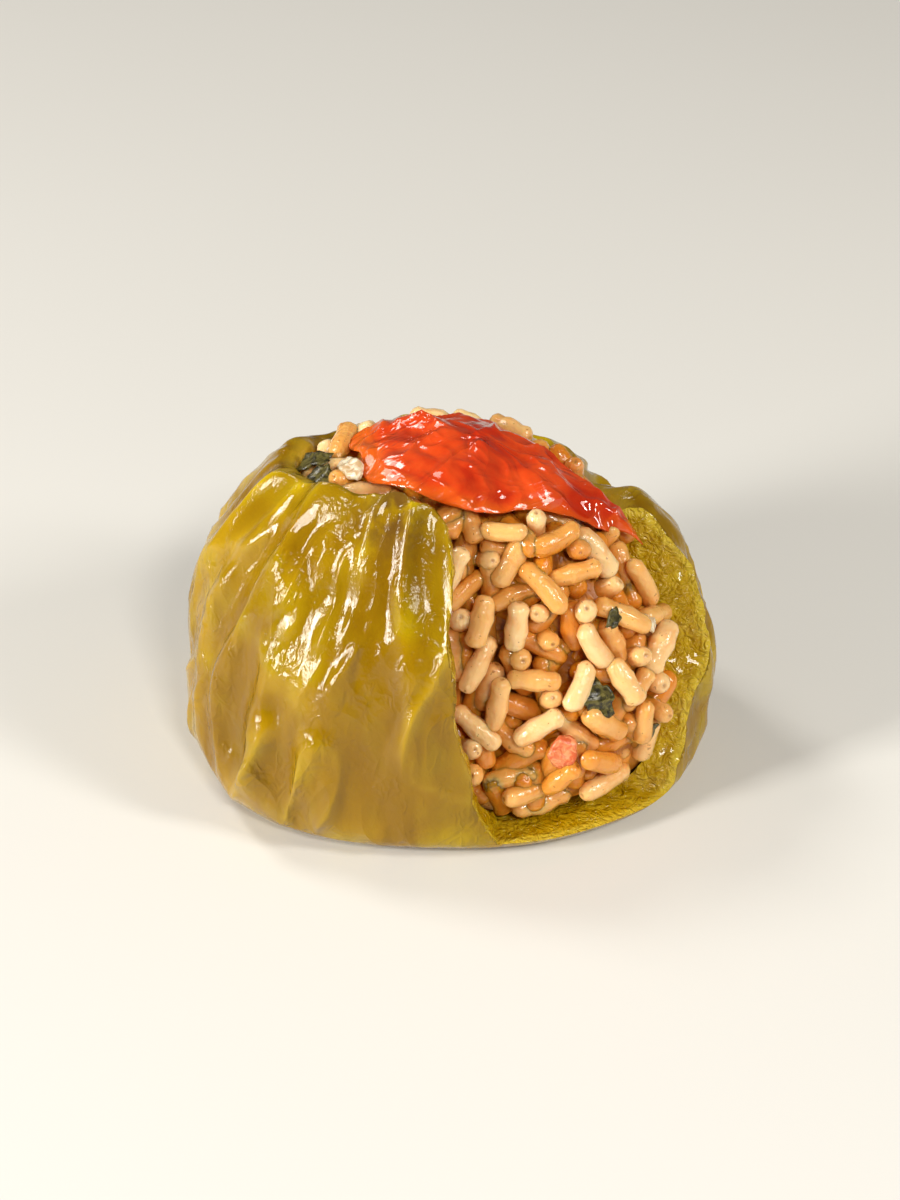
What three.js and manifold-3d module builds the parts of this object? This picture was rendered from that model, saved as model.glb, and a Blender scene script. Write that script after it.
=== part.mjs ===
// A stuffed bell pepper: a slumped green pepper with four lobes and an open mouth, cut open at its
// front right, filled with rice and topped with a wrinkled slice of tomato. Millimetres, +Z up,
// the front towards -Y, the origin at the middle of the base.
import * as THREE from "three";
import { mergeVertices } from "three/addons/utils/BufferGeometryUtils.js";
import Module from "manifold-3d";

const wasm = await Module();
wasm.setup();

const { smoothstep, degToRad, clamp, lerp } = THREE.MathUtils;

// The pepper.
const WIDTH = 88; // left to right
const DEPTH = 73; // front to back
const RIM_HEIGHT = 51.3; // the mouth's edge, on average
const RIM_RISE = 6; // how much higher it is on its high side
const HIGH_SIDE = degToRad(224); // angles run anticlockwise from the right
const RIM_TWIST = 1.6; // a second, smaller rise on two opposite sides
const TWIST_SIDE = degToRad(78);
const RIM_RIPPLE = 0.6;
const RIM_DIP = 4; // how far the edge sinks beside the left cut
const DIP_SIDE = degToRad(278);
const DIP_WIDTH = degToRad(10);
const FURROW_DIP = 1.3; // and how far between two lobes
const LEAN = 0.22; // how far the front left lobe leans in at its top, as a share of the radius
const LEAN_SIDE = degToRad(248);
const LEAN_WIDTH = degToRad(38);
const SQUARENESS = 0.07; // how much fuller the foot is on its four corners
const FURROWS = [35, 122, 203, 305].map(degToRad); // grooves between the four lobes
const FURROW_WIDTH = degToRad(11);
const FURROW_DEPTH = 0.08; // as a share of the radius
const FLARE = 7.5; // how far the right-hand shoulder has opened outwards
const FLARE_SIDE = degToRad(-5);
const FLARE_WIDTH = degToRad(42);
const FOLD_COUNT = 25; // long folds of the skin, all the way round
const FOLD_PHASE = degToRad(95);
const FOLD_DEPTH = 1.2;
const FOLD_START = 2; // height at which the folds begin
const FOLD_FULL = 14; // height at which they are full

// The wall's section from the middle of the underside, over the rim and down to the middle of the
// floor: share of the half width, and share of the rim's height.
const OUTSIDE = [
  [0, 0.03], [0.2, 0.02], [0.38, 0], [0.58, 0], [0.76, 0], [0.9, 0.025], [0.97, 0.085],
  [1, 0.2], [0.995, 0.34], [0.965, 0.5], [0.9, 0.67], [0.8, 0.83], [0.7, 0.95],
];
const RIM = [[0.62, 1]];
const INSIDE = [
  [0.545, 0.955], [0.56, 0.87], [0.665, 0.78], [0.79, 0.62], [0.86, 0.46], [0.88, 0.3],
  [0.865, 0.17], [0.79, 0.095], [0.6, 0.075], [0.3, 0.072], [0, 0.072],
];
const SHELL_COLUMNS = 90;
const INNER_FOLDS = 0.3; // how much of the skin's folds shows on the inner face

// The window: a piece of the wall is gone between two knife cuts.
const CUT_FOOT = 3.4; // height of the lip left under it
const CUT_SIZE = 62; // bigger than the wall it takes away
const CUT_ROWS = 16;
const LEFT_CUT = 0.8; // X of the left cut
const LEFT_CUT_DRIFT = 8.5; // how far it runs to the right at its foot
const LEFT_CUT_BEND = 40; // height at which that begins
const RIGHT_CUT = -23; // Y of the right cut at the table
const RIGHT_CUT_SLOPE = 0.5; // how fast it runs back as it rises
const CUT_RIPPLE = 0.45;

// The rice.
const RICE_TOP = 55; // crest of the heap
const RICE_CREST_X = -2;
const FALL_SIDEWAYS = 0.013; // how the heap falls away from its crest, per square millimetre
const FALL_BACK = 0.022;
const FALL_FRONT = 0.01;
const FACE_TOP = -13; // Y of the rice's open face at the crest
const FACE_SLOPE = 0.36; // how far it comes forward for each millimetre down
const WALL_ROOM = 1.7; // how far the rice stays inside the wall's inner face
const SPILL = 1.4; // how far it bulges past that face where the wall is gone
const CORE_SINK = 2.1; // the core lies this far under the middle of the outer grains
const FOCUS = new THREE.Vector3(6, -3, 25); // a point deep in the rice, to measure its surface from
const FARTHEST = 60; // beyond all the rice, seen from there
const HALVINGS = 24; // of that distance, to find the surface
const NORMAL_STEP = 0.06;
const MOUTH_REACH = 0.53; // share of the half width within which the rice shows from above
const MOUTH_DEPTH = 2.5;
const GRAIN_TRIES = 2600; // directions from the focus, spread evenly
const GRAIN_SPACING = 3.9; // the closest two grains' middles start
const GRAIN_LENGTH = [7.6, 10.6];
const GRAIN_WIDTH = [3.5, 4.1];
const GRAIN_SHARE_ON_END = 0.16; // grains that point outwards, so that only an end shows
const END_LEAN = 1.25; // how steeply these stand, in radians
const END_SINK = 0.28; // and how deep, as a share of their length
const GRAIN_SIDES = 6;
const SETTLE_STEPS = 48;
const SETTLE_SHARE = 0.86; // how much of its width a grain keeps clear of the others
const LEASH = 1.7; // how far a grain may move along the heap's surface
const RISE_LIMIT = [-1.6, 1.8]; // and how far in and out of it
const FOOT_ROOM = 0.8; // how far grains stay above the lip under the window
const CORE_COLUMNS = 28;
const SEED = 20417;

// Flakes of herb and bits of onion and tomato on the rice: where they lie, length, width and turn.
const FLAKE_THICK = 1.1;
const FLAKE_SIDES = 6;
const FLAKE_LIFT = 1.9; // height of a flake's middle over the middle of the outer grains
const FLAKES = [
  { at: [29, -20, 37.5], size: [4.6, 2.6], turn: 0.5 },
  { at: [25.5, -25, 24.5], size: [5.2, 3.2], turn: 1.7 },
  { at: [30.3, -20, 17.7], size: [4, 2.3], turn: 0.2 },
  { at: [33, -16, 33], size: [4.4, 2.8], turn: 2.2 },
  { at: [19.6, -28, 16.4], size: [5.4, 4.4], turn: 1.2 },
  { at: [-21, 1, 51], size: [5.5, 3], turn: 1.4 },
  { at: [-19.5, -4, 52], size: [4.4, 3], turn: 0.3 },
  { at: [-18.5, 6, 52], size: [4, 2.4], turn: 2.4 },
  { at: [-14.5, -4.5, 53], size: [6.4, 3.8], turn: 0.2 },
];

// The tomato slice.
const SLICE_CENTRE = new THREE.Vector2(7.2, -2.3);
const SLICE_LENGTH = 47;
const SLICE_WIDTH = 24.6;
const SLICE_TURN = degToRad(-10);
const SLICE_TAPER = [0.4, 0.36]; // narrower to the right, and at both ends
const SLICE_THICK = 3; // in the middle
const SLICE_EDGE = 1.7; // at its rim
const SLICE_CROWN = 1.2; // how much it arches over the grains
const SLICE_FOLD = 0.7;
const SLICE_LIFT = 2.6; // height of its middle layer over the rice
const SLICE_COVER = 0.72; // no grain is laid within this share of its outline
const SLICE_OVERHANG = 1.06; // and none pokes through it within this share
const SLICE_RINGS = 6;
const SLICE_SIDES = 30;

// Clearances between neighbouring pieces.
const WALL_GAP = 0.42;
const SLICE_GAP = 1.05;

const HALF = new THREE.Vector2(WIDTH / 2, DEPTH / 2);

// A repeatable stream of numbers from 0 to 1.
function stream(seed) {
  let state = seed;
  return () => {
    state = (state * 1664525 + 1013904223) % 4294967296;
    return state / 4294967296;
  };
}

// 1 at the given angle, falling to 0 over the given width on both sides.
function near(angle, centre, width) {
  const away = Math.atan2(Math.sin(angle - centre), Math.cos(angle - centre));
  return Math.exp(-((away / width) ** 2));
}

function furrow(angle) {
  return FURROWS.reduce((sum, centre) => sum + near(angle, centre, FURROW_WIDTH), 0);
}

function rimHeight(angle) {
  const ripple = Math.sin(7 * angle + 1) + 0.6 * Math.sin(12 * angle);
  const rise = RIM_RISE * Math.cos(angle - HIGH_SIDE) + RIM_TWIST * Math.cos(2 * (angle - TWIST_SIDE));
  const dip = RIM_DIP * near(angle, DIP_SIDE, DIP_WIDTH) + FURROW_DIP * furrow(angle);
  return RIM_HEIGHT + rise + RIM_RIPPLE * ripple - dip;
}

// Long, mostly upright folds, as a height over the smooth skin.
function folds(angle, z) {
  const sway = 0.9 * Math.sin(z / 8 + 3 * angle) + 1.1 * Math.sin(2 * angle + 0.6);
  const crest = 0.5 + 0.5 * Math.sin(FOLD_COUNT * angle + FOLD_PHASE + sway);
  const strength = 0.65 + 0.35 * Math.sin(5 * angle + z / 13);
  const across = Math.sin(z / 4.5 + 2.5 * Math.sin(4 * angle));
  return FOLD_DEPTH * (1.9 * strength * crest ** 1.6 - 0.7 + 0.22 * across);
}

// How much wider than the plain ellipse the pepper is, as a factor on its radius.
function spread(angle, height) {
  const flare = (FLARE / HALF.x) * near(angle, FLARE_SIDE, FLARE_WIDTH) * height ** 2;
  const lean = LEAN * near(angle, LEAN_SIDE, LEAN_WIDTH) * height ** 3;
  const corners = SQUARENESS * Math.sin(2 * angle) ** 2 * (1 - height) ** 1.5;
  const grooves = FURROW_DEPTH * lerp(0.2, 1.1, smoothstep(height, 0.1, 0.9)) * furrow(angle);
  return 1 + flare - lean + corners - grooves;
}

// A point of the pepper's wall, from an angle and a place on its section.
function wallPoint(angle, radius, height, row) {
  const rise = lerp(RIM_HEIGHT, rimHeight(angle), smoothstep(radius, 0, 0.4));
  const z = Math.max(0, height * rise);
  const share = row < OUTSIDE.length ? 1 : INNER_FOLDS;
  const fold = share * folds(angle, z) * smoothstep(z, FOLD_START, FOLD_FULL) * smoothstep(radius, 0, 0.5);
  const reach = radius * spread(angle, clamp(height, 0, 1)) + fold / HALF.x;
  return new THREE.Vector3(
    reach * HALF.x * Math.cos(angle),
    reach * HALF.y * Math.sin(angle),
    z,
  );
}

function vectors(pairs) {
  return pairs.map(([x, y]) => new THREE.Vector2(x, y));
}

// A lathe whose section is placed by a function of the angle and of the section's own point.
function turned(section, columns, place) {
  const geometry = new THREE.LatheGeometry(section, columns);
  const position = geometry.attributes.position;
  for (let i = 0; i < position.count; i++) {
    const across = position.getX(i);
    const along = position.getZ(i);
    const row = i % section.length;
    const point = place(Math.atan2(across, along), Math.hypot(across, along), position.getY(i), row);
    position.setXYZ(i, point.x, point.y, point.z);
  }
  return bare(geometry);
}

// Positions alone, with shared corners and no collapsed triangles.
function bare(geometry) {
  const copy = geometry.clone();
  for (const name of Object.keys(copy.attributes)) {
    if (name !== "position") copy.deleteAttribute(name);
  }
  const merged = mergeVertices(copy, 1e-4);
  const corners = merged.index.array;
  const kept = [];
  for (let i = 0; i < corners.length; i += 3) {
    const [a, b, c] = corners.slice(i, i + 3);
    if (a !== b && b !== c && c !== a) kept.push(a, b, c);
  }
  merged.setIndex(kept);
  return merged;
}

// The same surface moved outwards along its normals.
function swollen(geometry, by) {
  const copy = geometry.clone();
  copy.computeVertexNormals();
  const { position, normal } = copy.attributes;
  for (let i = 0; i < position.count; i++) {
    position.setXYZ(
      i,
      position.getX(i) + by * normal.getX(i),
      position.getY(i) + by * normal.getY(i),
      position.getZ(i) + by * normal.getZ(i),
    );
  }
  return copy;
}

function toSolid(geometry) {
  return new wasm.Manifold(
    new wasm.Mesh({
      numProp: 3,
      vertProperties: new Float32Array(geometry.attributes.position.array),
      triVerts: new Uint32Array(geometry.index.array),
    }),
  );
}

function toGeometry(solid) {
  const { vertProperties, triVerts } = solid.getMesh();
  const geometry = new THREE.BufferGeometry();
  geometry.setAttribute("position", new THREE.BufferAttribute(vertProperties, 3));
  geometry.setIndex(new THREE.BufferAttribute(triVerts, 1));
  return geometry;
}

function largest(solid) {
  return solid.decompose().reduce((best, one) => (one.volume() > best.volume() ? one : best));
}

// Where the two knife cuts run at a height.
function leftCut(z) {
  const drift = LEFT_CUT_DRIFT * clamp(1 - z / LEFT_CUT_BEND, 0, 1) ** 2;
  return LEFT_CUT + drift + CUT_RIPPLE * Math.sin(z / 2.3);
}

function rightCut(z) {
  return RIGHT_CUT + RIGHT_CUT_SLOPE * z + CUT_RIPPLE * Math.sin(z / 1.9 + 1);
}

// What the knife took out of the wall, drawn in by a clearance.
function windowCutter(clearance) {
  const block = new THREE.BoxGeometry(CUT_SIZE, CUT_SIZE, CUT_SIZE, 1, 1, CUT_ROWS);
  block.translate(CUT_SIZE / 2, -CUT_SIZE / 2, CUT_SIZE / 2 + CUT_FOOT + clearance);
  const position = block.attributes.position;
  for (let i = 0; i < position.count; i++) {
    const z = position.getZ(i);
    position.setX(i, position.getX(i) + leftCut(z) + clearance);
    position.setY(i, position.getY(i) + rightCut(z) - clearance);
  }
  return toSolid(bare(block));
}

function pepperShell(clearance) {
  const section = vectors([...OUTSIDE, ...RIM, ...INSIDE]);
  const wall = turned(section, SHELL_COLUMNS, wallPoint);
  const solid = toSolid(clearance ? swollen(wall, clearance) : wall);
  return solid.subtract(windowCutter(clearance));
}

// Top of the rice heap over a point of the plan.
function riceTop(x, y) {
  const fall = y > 0 ? FALL_BACK : FALL_FRONT;
  return RICE_TOP - FALL_SIDEWAYS * (x - RICE_CREST_X) ** 2 - fall * y * y;
}

function inWindow(x, y, z) {
  return x > leftCut(z) && y < rightCut(z) && z > CUT_FOOT;
}

// Y of the open face of the rice in the window at a height.
function faceFront(z) {
  return FACE_TOP - FACE_SLOPE * (RICE_TOP - z);
}

// Share of the half width that the rice fills at a share of the height, just inside the wall.
function riceReach(height) {
  const room = WALL_ROOM / HALF.x;
  if (height >= INSIDE[0][1]) return INSIDE[0][0] - room;
  for (let i = 1; i < INSIDE.length; i++) {
    const [r1, h1] = INSIDE[i - 1];
    const [r2, h2] = INSIDE[i];
    if (height >= h2) return lerp(r2, r1, (height - h2) / (h1 - h2)) - room;
  }
  return 0;
}

// How far from the middle line a point is, as a share of the pepper's own half width there.
function reachAt(x, y, height) {
  const angle = Math.atan2(y / HALF.y, x / HALF.x);
  return Math.hypot(x / HALF.x, y / HALF.y) / spread(angle, clamp(height, 0, 1));
}

function heightAt(x, y, z) {
  return z / rimHeight(Math.atan2(y / HALF.y, x / HALF.x));
}

function insideRice(x, y, z) {
  const height = heightAt(x, y, z);
  const open = x > LEFT_CUT - 1 && y < faceFront(z);
  const spill = inWindow(x, y, z) ? ((WALL_ROOM + SPILL) * smoothstep(z, 8, 20)) / HALF.x : 0;
  return reachAt(x, y, height) < riceReach(height) + spill && z < riceTop(x, y) && !open;
}

// Distance from the focus to the rice's surface in a direction.
function surfaceDistance(direction) {
  let inner = 0;
  let outer = FARTHEST;
  for (let i = 0; i < HALVINGS; i++) {
    const middle = (inner + outer) / 2;
    const point = direction.clone().multiplyScalar(middle).add(FOCUS);
    if (insideRice(point.x, point.y, point.z)) inner = middle;
    else outer = middle;
  }
  return inner;
}

function surfacePoint(direction) {
  return direction.clone().multiplyScalar(surfaceDistance(direction)).add(FOCUS);
}

// Outward normal of the rice's surface in a direction.
function surfaceNormal(direction) {
  const side = new THREE.Vector3(0, 0, 1).cross(direction).normalize();
  const up = direction.clone().cross(side);
  const at = (a, b) =>
    surfacePoint(direction.clone().addScaledVector(side, a).addScaledVector(up, b).normalize());
  const across = at(NORMAL_STEP, 0).sub(at(-NORMAL_STEP, 0));
  const along = at(0, NORMAL_STEP).sub(at(0, -NORMAL_STEP));
  return across.cross(along).normalize();
}

// Whether a place on the rice's surface shows: in the mouth, or in the window.
function isOpen({ x, y, z }) {
  const inMouth = z > riceTop(x, y) - MOUTH_DEPTH && reachAt(x, y, 1) < MOUTH_REACH;
  return inMouth || inWindow(x + 0.5, y + 1.5, z - 1);
}

// Width of the slice at a share of its half length, against the width of a plain oval.
function sliceTaper(along) {
  const end = clamp(along, -1, 1);
  return 1 - SLICE_TAPER[0] * end - SLICE_TAPER[1] * end * end;
}

// The tomato slice's share of its own outline at a point of the plan: 1 on its edge.
function sliceShare(x, y) {
  const away = new THREE.Vector2(x, y).sub(SLICE_CENTRE).rotateAround(new THREE.Vector2(), -SLICE_TURN);
  const along = away.x / (SLICE_LENGTH / 2);
  return Math.hypot(along, away.y / ((SLICE_WIDTH / 2) * sliceTaper(along)));
}

// The outer grains: directions from an even sequence, each grain laid on the surface at random.
function scatterGrains() {
  const random = stream(SEED);
  const grains = [];
  for (let i = 0; i < GRAIN_TRIES; i++) {
    const [turn, tilt, size, girth, lift] = Array.from({ length: 5 }, random);
    const rise = 1 - 2 * ((0.5 + 0.7548776662 * i) % 1);
    const round = 2 * Math.PI * ((0.5 + 0.5698402910 * i) % 1);
    const level = Math.sqrt(1 - rise * rise);
    const direction = new THREE.Vector3(level * Math.cos(round), level * Math.sin(round), rise);
    const place = surfacePoint(direction);
    const crowded = grains.some(({ home }) => home.distanceTo(place) < GRAIN_SPACING);
    if (crowded || !isOpen(place) || sliceShare(place.x, place.y) < SLICE_COVER) continue;
    const normal = surfaceNormal(direction);
    const side = new THREE.Vector3(0, 0, 1).cross(normal).normalize();
    const up = normal.clone().cross(side);
    const onEnd = tilt < GRAIN_SHARE_ON_END;
    const lean = onEnd ? END_LEAN : 0.8 * (tilt - 0.55);
    const axis = side.multiplyScalar(Math.cos(Math.PI * turn));
    axis.addScaledVector(up, Math.sin(Math.PI * turn));
    axis.multiplyScalar(Math.cos(lean)).addScaledVector(normal, Math.sin(lean)).normalize();
    const length = lerp(...GRAIN_LENGTH, size);
    const sink = onEnd ? END_SINK * length : 0;
    grains.push({
      home: place,
      normal,
      centre: place.clone().addScaledVector(normal, 1.6 * lift - 0.5 - sink),
      axis,
      length,
      width: lerp(...GRAIN_WIDTH, girth),
    });
  }
  return grains;
}

// The shortest way from one grain's middle line to another's.
function closestBetween(a, b) {
  const reachA = (a.length - a.width) / 2;
  const reachB = (b.length - b.width) / 2;
  const apart = a.centre.clone().sub(b.centre);
  const dot = a.axis.dot(b.axis);
  const onA = a.axis.dot(apart);
  const onB = b.axis.dot(apart);
  const slant = Math.max(1 - dot * dot, 1e-6);
  let s = clamp((dot * onB - onA) / slant, -reachA, reachA);
  const t = clamp(dot * s + onB, -reachB, reachB);
  s = clamp(dot * t - onA, -reachA, reachA);
  return apart.addScaledVector(a.axis, s).addScaledVector(b.axis, -t);
}

// How a point of a grain has to move to stay clear of the wall and of the tomato.
function elbowRoom({ x, y, z }, radius) {
  const move = new THREE.Vector3();
  const height = heightAt(x, y, z);
  const over = reachAt(x, y, height) - riceReach(height) + radius / HALF.x;
  if (over > 0 && !inWindow(x - 0.5, y + 0.5, z)) {
    move.set(x, y, 0).setLength(-over * HALF.x);
  }
  const share = sliceShare(x, y);
  const under = sliceHeight(x, y, share) - SLICE_THICK / 2 - SLICE_FOLD;
  const floor = CUT_FOOT + FOOT_ROOM;
  if (share < SLICE_OVERHANG && z + radius > under) move.z = under - z - radius;
  if (z - radius < floor) move.z = floor + radius - z;
  return move;
}

// Moves overlapping grains apart, a little at a time.
function settle(grains) {
  for (let step = 0; step < SETTLE_STEPS; step++) {
    const moves = grains.map(() => new THREE.Vector3());
    for (let i = 0; i < grains.length; i++) {
      for (let j = i + 1; j < grains.length; j++) {
        const [a, b] = [grains[i], grains[j]];
        if (a.centre.distanceTo(b.centre) > GRAIN_LENGTH[1]) continue;
        const way = closestBetween(a, b);
        const distance = Math.max(way.length(), 1e-3);
        const wanted = (SETTLE_SHARE * (a.width + b.width)) / 2;
        if (distance >= wanted) continue;
        const push = (0.25 * (wanted - distance)) / distance;
        moves[i].addScaledVector(way, push);
        moves[j].addScaledVector(way, -push);
      }
    }
    grains.forEach((grain, i) => {
      const { home, normal, centre, axis, length, width } = grain;
      centre.add(moves[i]);
      const away = centre.clone().sub(home);
      const rise = away.dot(normal);
      away.addScaledVector(normal, -rise).clampLength(0, LEASH);
      centre.copy(home).add(away).addScaledVector(normal, clamp(rise, ...RISE_LIMIT));
      for (const end of [-0.5, 0.5]) {
        const tip = centre.clone().addScaledVector(axis, end * (length - width));
        centre.addScaledVector(elbowRoom(tip, width / 2), 0.5);
      }
    });
  }
  return grains;
}

// A grain with few sides: two rings between two points.
function grainSolid({ centre, axis, length, width }) {
  const section = [[0, -0.5], [0.51, -0.33], [0.51, 0.33], [0, 0.5]];
  const geometry = new THREE.LatheGeometry(vectors(section), GRAIN_SIDES);
  geometry.scale(width, length, width);
  const turn = new THREE.Quaternion().setFromUnitVectors(new THREE.Vector3(0, 1, 0), axis);
  geometry.applyQuaternion(turn).translate(centre.x, centre.y, centre.z);
  return toSolid(bare(geometry));
}

// A flake: a thin six-sided lens laid on the rice.
function flakeSolid({ at, size, turn }) {
  const direction = new THREE.Vector3(...at).sub(FOCUS).normalize();
  const normal = surfaceNormal(direction);
  const centre = surfacePoint(direction).addScaledVector(normal, FLAKE_LIFT);
  const section = [[0, -0.5], [0.5, -0.2], [0.5, 0.2], [0, 0.5]];
  const geometry = new THREE.LatheGeometry(vectors(section), FLAKE_SIDES);
  geometry.scale(size[0], FLAKE_THICK, size[1]).rotateY(turn);
  const lay = new THREE.Quaternion().setFromUnitVectors(new THREE.Vector3(0, 1, 0), normal);
  geometry.applyQuaternion(lay).translate(centre.x, centre.y, centre.z);
  return toSolid(bare(geometry));
}

// The solid body of rice under the outer grains.
function riceCore() {
  const side = INSIDE.slice(0, -1).reverse();
  const top = [0.5, 0.38, 0.24, 0.1, 0];
  const section = vectors([
    [0, 0.085],
    ...side.map(([radius, height]) => [radius - WALL_ROOM / HALF.x, height + 0.012]),
    ...top.map((radius) => [radius, 1.3]),
  ]);
  const place = (angle, radius, height) => {
    const rise = lerp(RIM_HEIGHT, rimHeight(angle), smoothstep(radius, 0, 0.3));
    const reach = radius * spread(angle, clamp(height, 0, 1));
    const x = reach * HALF.x * Math.cos(angle);
    const y = reach * HALF.y * Math.sin(angle);
    const z = Math.min(height * rise, riceTop(x, y) - CORE_SINK);
    const front = x > LEFT_CUT - 1 ? faceFront(z) + CORE_SINK : -HALF.y;
    return new THREE.Vector3(x, Math.max(y, front), z);
  };
  return toSolid(turned(section, CORE_COLUMNS, place));
}

// Height of the slice's middle over a point of the plan.
function sliceHeight(x, y, share) {
  return riceTop(x, y) + SLICE_LIFT + SLICE_CROWN * (1 - share ** 2);
}

// Creases that run from the slice's middle to its edge.
function sliceFold(angle, share) {
  const long = Math.sin(5 * angle + 1.6 * Math.sin(2 * angle + 3 * share));
  const short = Math.sin(9 * angle - 4 * share);
  return SLICE_FOLD * share * (long + 0.5 * short);
}

// The slice: rings from its middle on top, round the edge, and back to the middle underneath.
function tomatoSlice(clearance) {
  const section = [];
  for (let i = 0; i <= SLICE_RINGS; i++) {
    section.push(new THREE.Vector2(i / SLICE_RINGS, -1));
  }
  for (let i = SLICE_RINGS; i >= 0; i--) {
    section.push(new THREE.Vector2(i / SLICE_RINGS, 1));
  }
  const place = (angle, share, face) => {
    const bulge = 1 + 0.06 * Math.sin(3 * angle + 0.7) + 0.035 * Math.sin(7 * angle);
    const taper = sliceTaper(share * Math.cos(angle));
    const along = (SLICE_LENGTH / 2 + clearance) * share * bulge * Math.cos(angle);
    const across = ((SLICE_WIDTH / 2) * taper + clearance) * share * bulge * Math.sin(angle);
    const x = SLICE_CENTRE.x + along * Math.cos(SLICE_TURN) - across * Math.sin(SLICE_TURN);
    const y = SLICE_CENTRE.y + along * Math.sin(SLICE_TURN) + across * Math.cos(SLICE_TURN);
    const half = lerp(SLICE_THICK, SLICE_EDGE, share ** 2) / 2 + clearance;
    const z = sliceHeight(x, y, share) + sliceFold(angle, share) + face * half;
    return new THREE.Vector3(x, y, z);
  };
  return turned(section, SLICE_SIDES, place);
}

function named(name, geometry, colour, roughness) {
  const material = new THREE.MeshStandardMaterial({ color: colour, roughness, metalness: 0 });
  const mesh = new THREE.Mesh(geometry, material);
  mesh.name = name;
  return mesh;
}

// Lobes and folds stand out of the plain oval: this brings the whole back to its width and depth.
function fitted(geometry, box) {
  const size = box.getSize(new THREE.Vector3());
  const middle = box.getCenter(new THREE.Vector3());
  return geometry.translate(-middle.x, -middle.y, 0).scale(WIDTH / size.x, DEPTH / size.y, 1);
}

const grains = settle(scatterGrains()).map(grainSolid);
const heap = wasm.Manifold.union([riceCore(), ...grains, ...FLAKES.map(flakeSolid)])
  .subtract(pepperShell(WALL_GAP))
  .subtract(toSolid(tomatoSlice(SLICE_GAP)));
const shell = toGeometry(pepperShell(0));
shell.computeBoundingBox();
const box = shell.boundingBox.clone();

const pepper = new THREE.Group();
pepper.add(named("pepper_shell", fitted(shell, box), 0x8a8420, 0.25));
pepper.add(named("rice_filling", fitted(toGeometry(largest(heap)), box), 0xe3b887, 0.45));
pepper.add(named("tomato_slice", fitted(tomatoSlice(0), box), 0xc92a14, 0.2));

export default pepper;
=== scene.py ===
"""A stuffed bell pepper: a cooked pepper cut open at its front, its rice and its slice of tomato."""

import logging
import math
from dataclasses import dataclass
from enum import Enum
from types import MappingProxyType
from typing import Any, Callable, Mapping, Sequence

import bpy
import numpy as np
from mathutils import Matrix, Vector
from mathutils.bvhtree import BVHTree


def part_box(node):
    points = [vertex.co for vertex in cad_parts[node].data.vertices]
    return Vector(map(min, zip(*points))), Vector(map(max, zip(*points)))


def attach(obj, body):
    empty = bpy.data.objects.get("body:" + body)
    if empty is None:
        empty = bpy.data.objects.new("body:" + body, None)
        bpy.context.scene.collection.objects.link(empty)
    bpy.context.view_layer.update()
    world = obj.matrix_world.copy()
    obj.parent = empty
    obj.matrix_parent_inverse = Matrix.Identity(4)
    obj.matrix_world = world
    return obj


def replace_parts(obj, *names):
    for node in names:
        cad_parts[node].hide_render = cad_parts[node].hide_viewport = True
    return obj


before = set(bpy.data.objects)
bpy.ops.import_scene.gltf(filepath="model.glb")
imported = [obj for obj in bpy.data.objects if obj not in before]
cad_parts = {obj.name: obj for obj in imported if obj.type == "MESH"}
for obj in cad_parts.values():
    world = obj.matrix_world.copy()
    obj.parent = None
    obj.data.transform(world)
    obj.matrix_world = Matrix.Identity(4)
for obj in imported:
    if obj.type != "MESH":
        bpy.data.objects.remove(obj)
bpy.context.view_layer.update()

MM = 0.001
EDGE_ROOM = 0.00004
LOG = logging.getLogger("stuffed_pepper")
Array = np.ndarray
Colour = tuple[float, float, float]
Values = Mapping[Any, Any]
NOTHING: Values = MappingProxyType({})


def lerp(start: Any, end: Any, share: Any) -> Any:
    """Return the value at a share of the way from start to end."""
    return start + (end - start) * share


def smooth(value: Any, low: float, high: float) -> Any:
    """Return 0 below low, 1 above high, and a smooth step between."""
    share = np.clip((value - low) / (high - low), 0.0, 1.0)
    return share * share * (3.0 - 2.0 * share)


def near(angle: Any, centre: float, width: float) -> Any:
    """Return 1 at the centre angle, falling to 0 over the width on both sides."""
    away = np.arctan2(np.sin(angle - centre), np.cos(angle - centre))
    return np.exp(-((away / width) ** 2))


def scatter_value(column: Array, row: Array, seed: float) -> Array:
    """Return a repeatable number from 0 to 1 for each cell of a lattice."""
    mixed = np.sin(column * 127.1 + row * 311.7 + seed * 74.7) * 43758.5453
    return mixed - np.floor(mixed)


def soft_noise(across: Array, along: Array, seed: float, turns: int = 4096) -> Array:
    """Return smooth noise from -1 to 1.

    Args:
        across: First coordinate, in cells; it repeats after the given turns.
        along: Second coordinate, in cells.
        seed: Picks the pattern.
        turns: Cells after which the first coordinate repeats.

    Returns:
        The noise at each point.
    """
    column = np.floor(across)
    row = np.floor(along)
    u = smooth(across - column, 0.0, 1.0)
    v = smooth(along - row, 0.0, 1.0)
    corners = [
        [scatter_value((column + i) % turns, row + j, seed) for i in (0, 1)] for j in (0, 1)
    ]
    low = lerp(corners[0][0], corners[0][1], u)
    high = lerp(corners[1][0], corners[1][1], u)
    return 2.0 * lerp(low, high, v) - 1.0


def ridges(across: Array, along: Array, seed: float, turns: int, sharpness: float) -> Array:
    """Return 1 on winding crests, where soft noise changes its sign, and less beside them."""
    return (1.0 - np.abs(soft_noise(across, along, seed, turns))) ** sharpness


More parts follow.
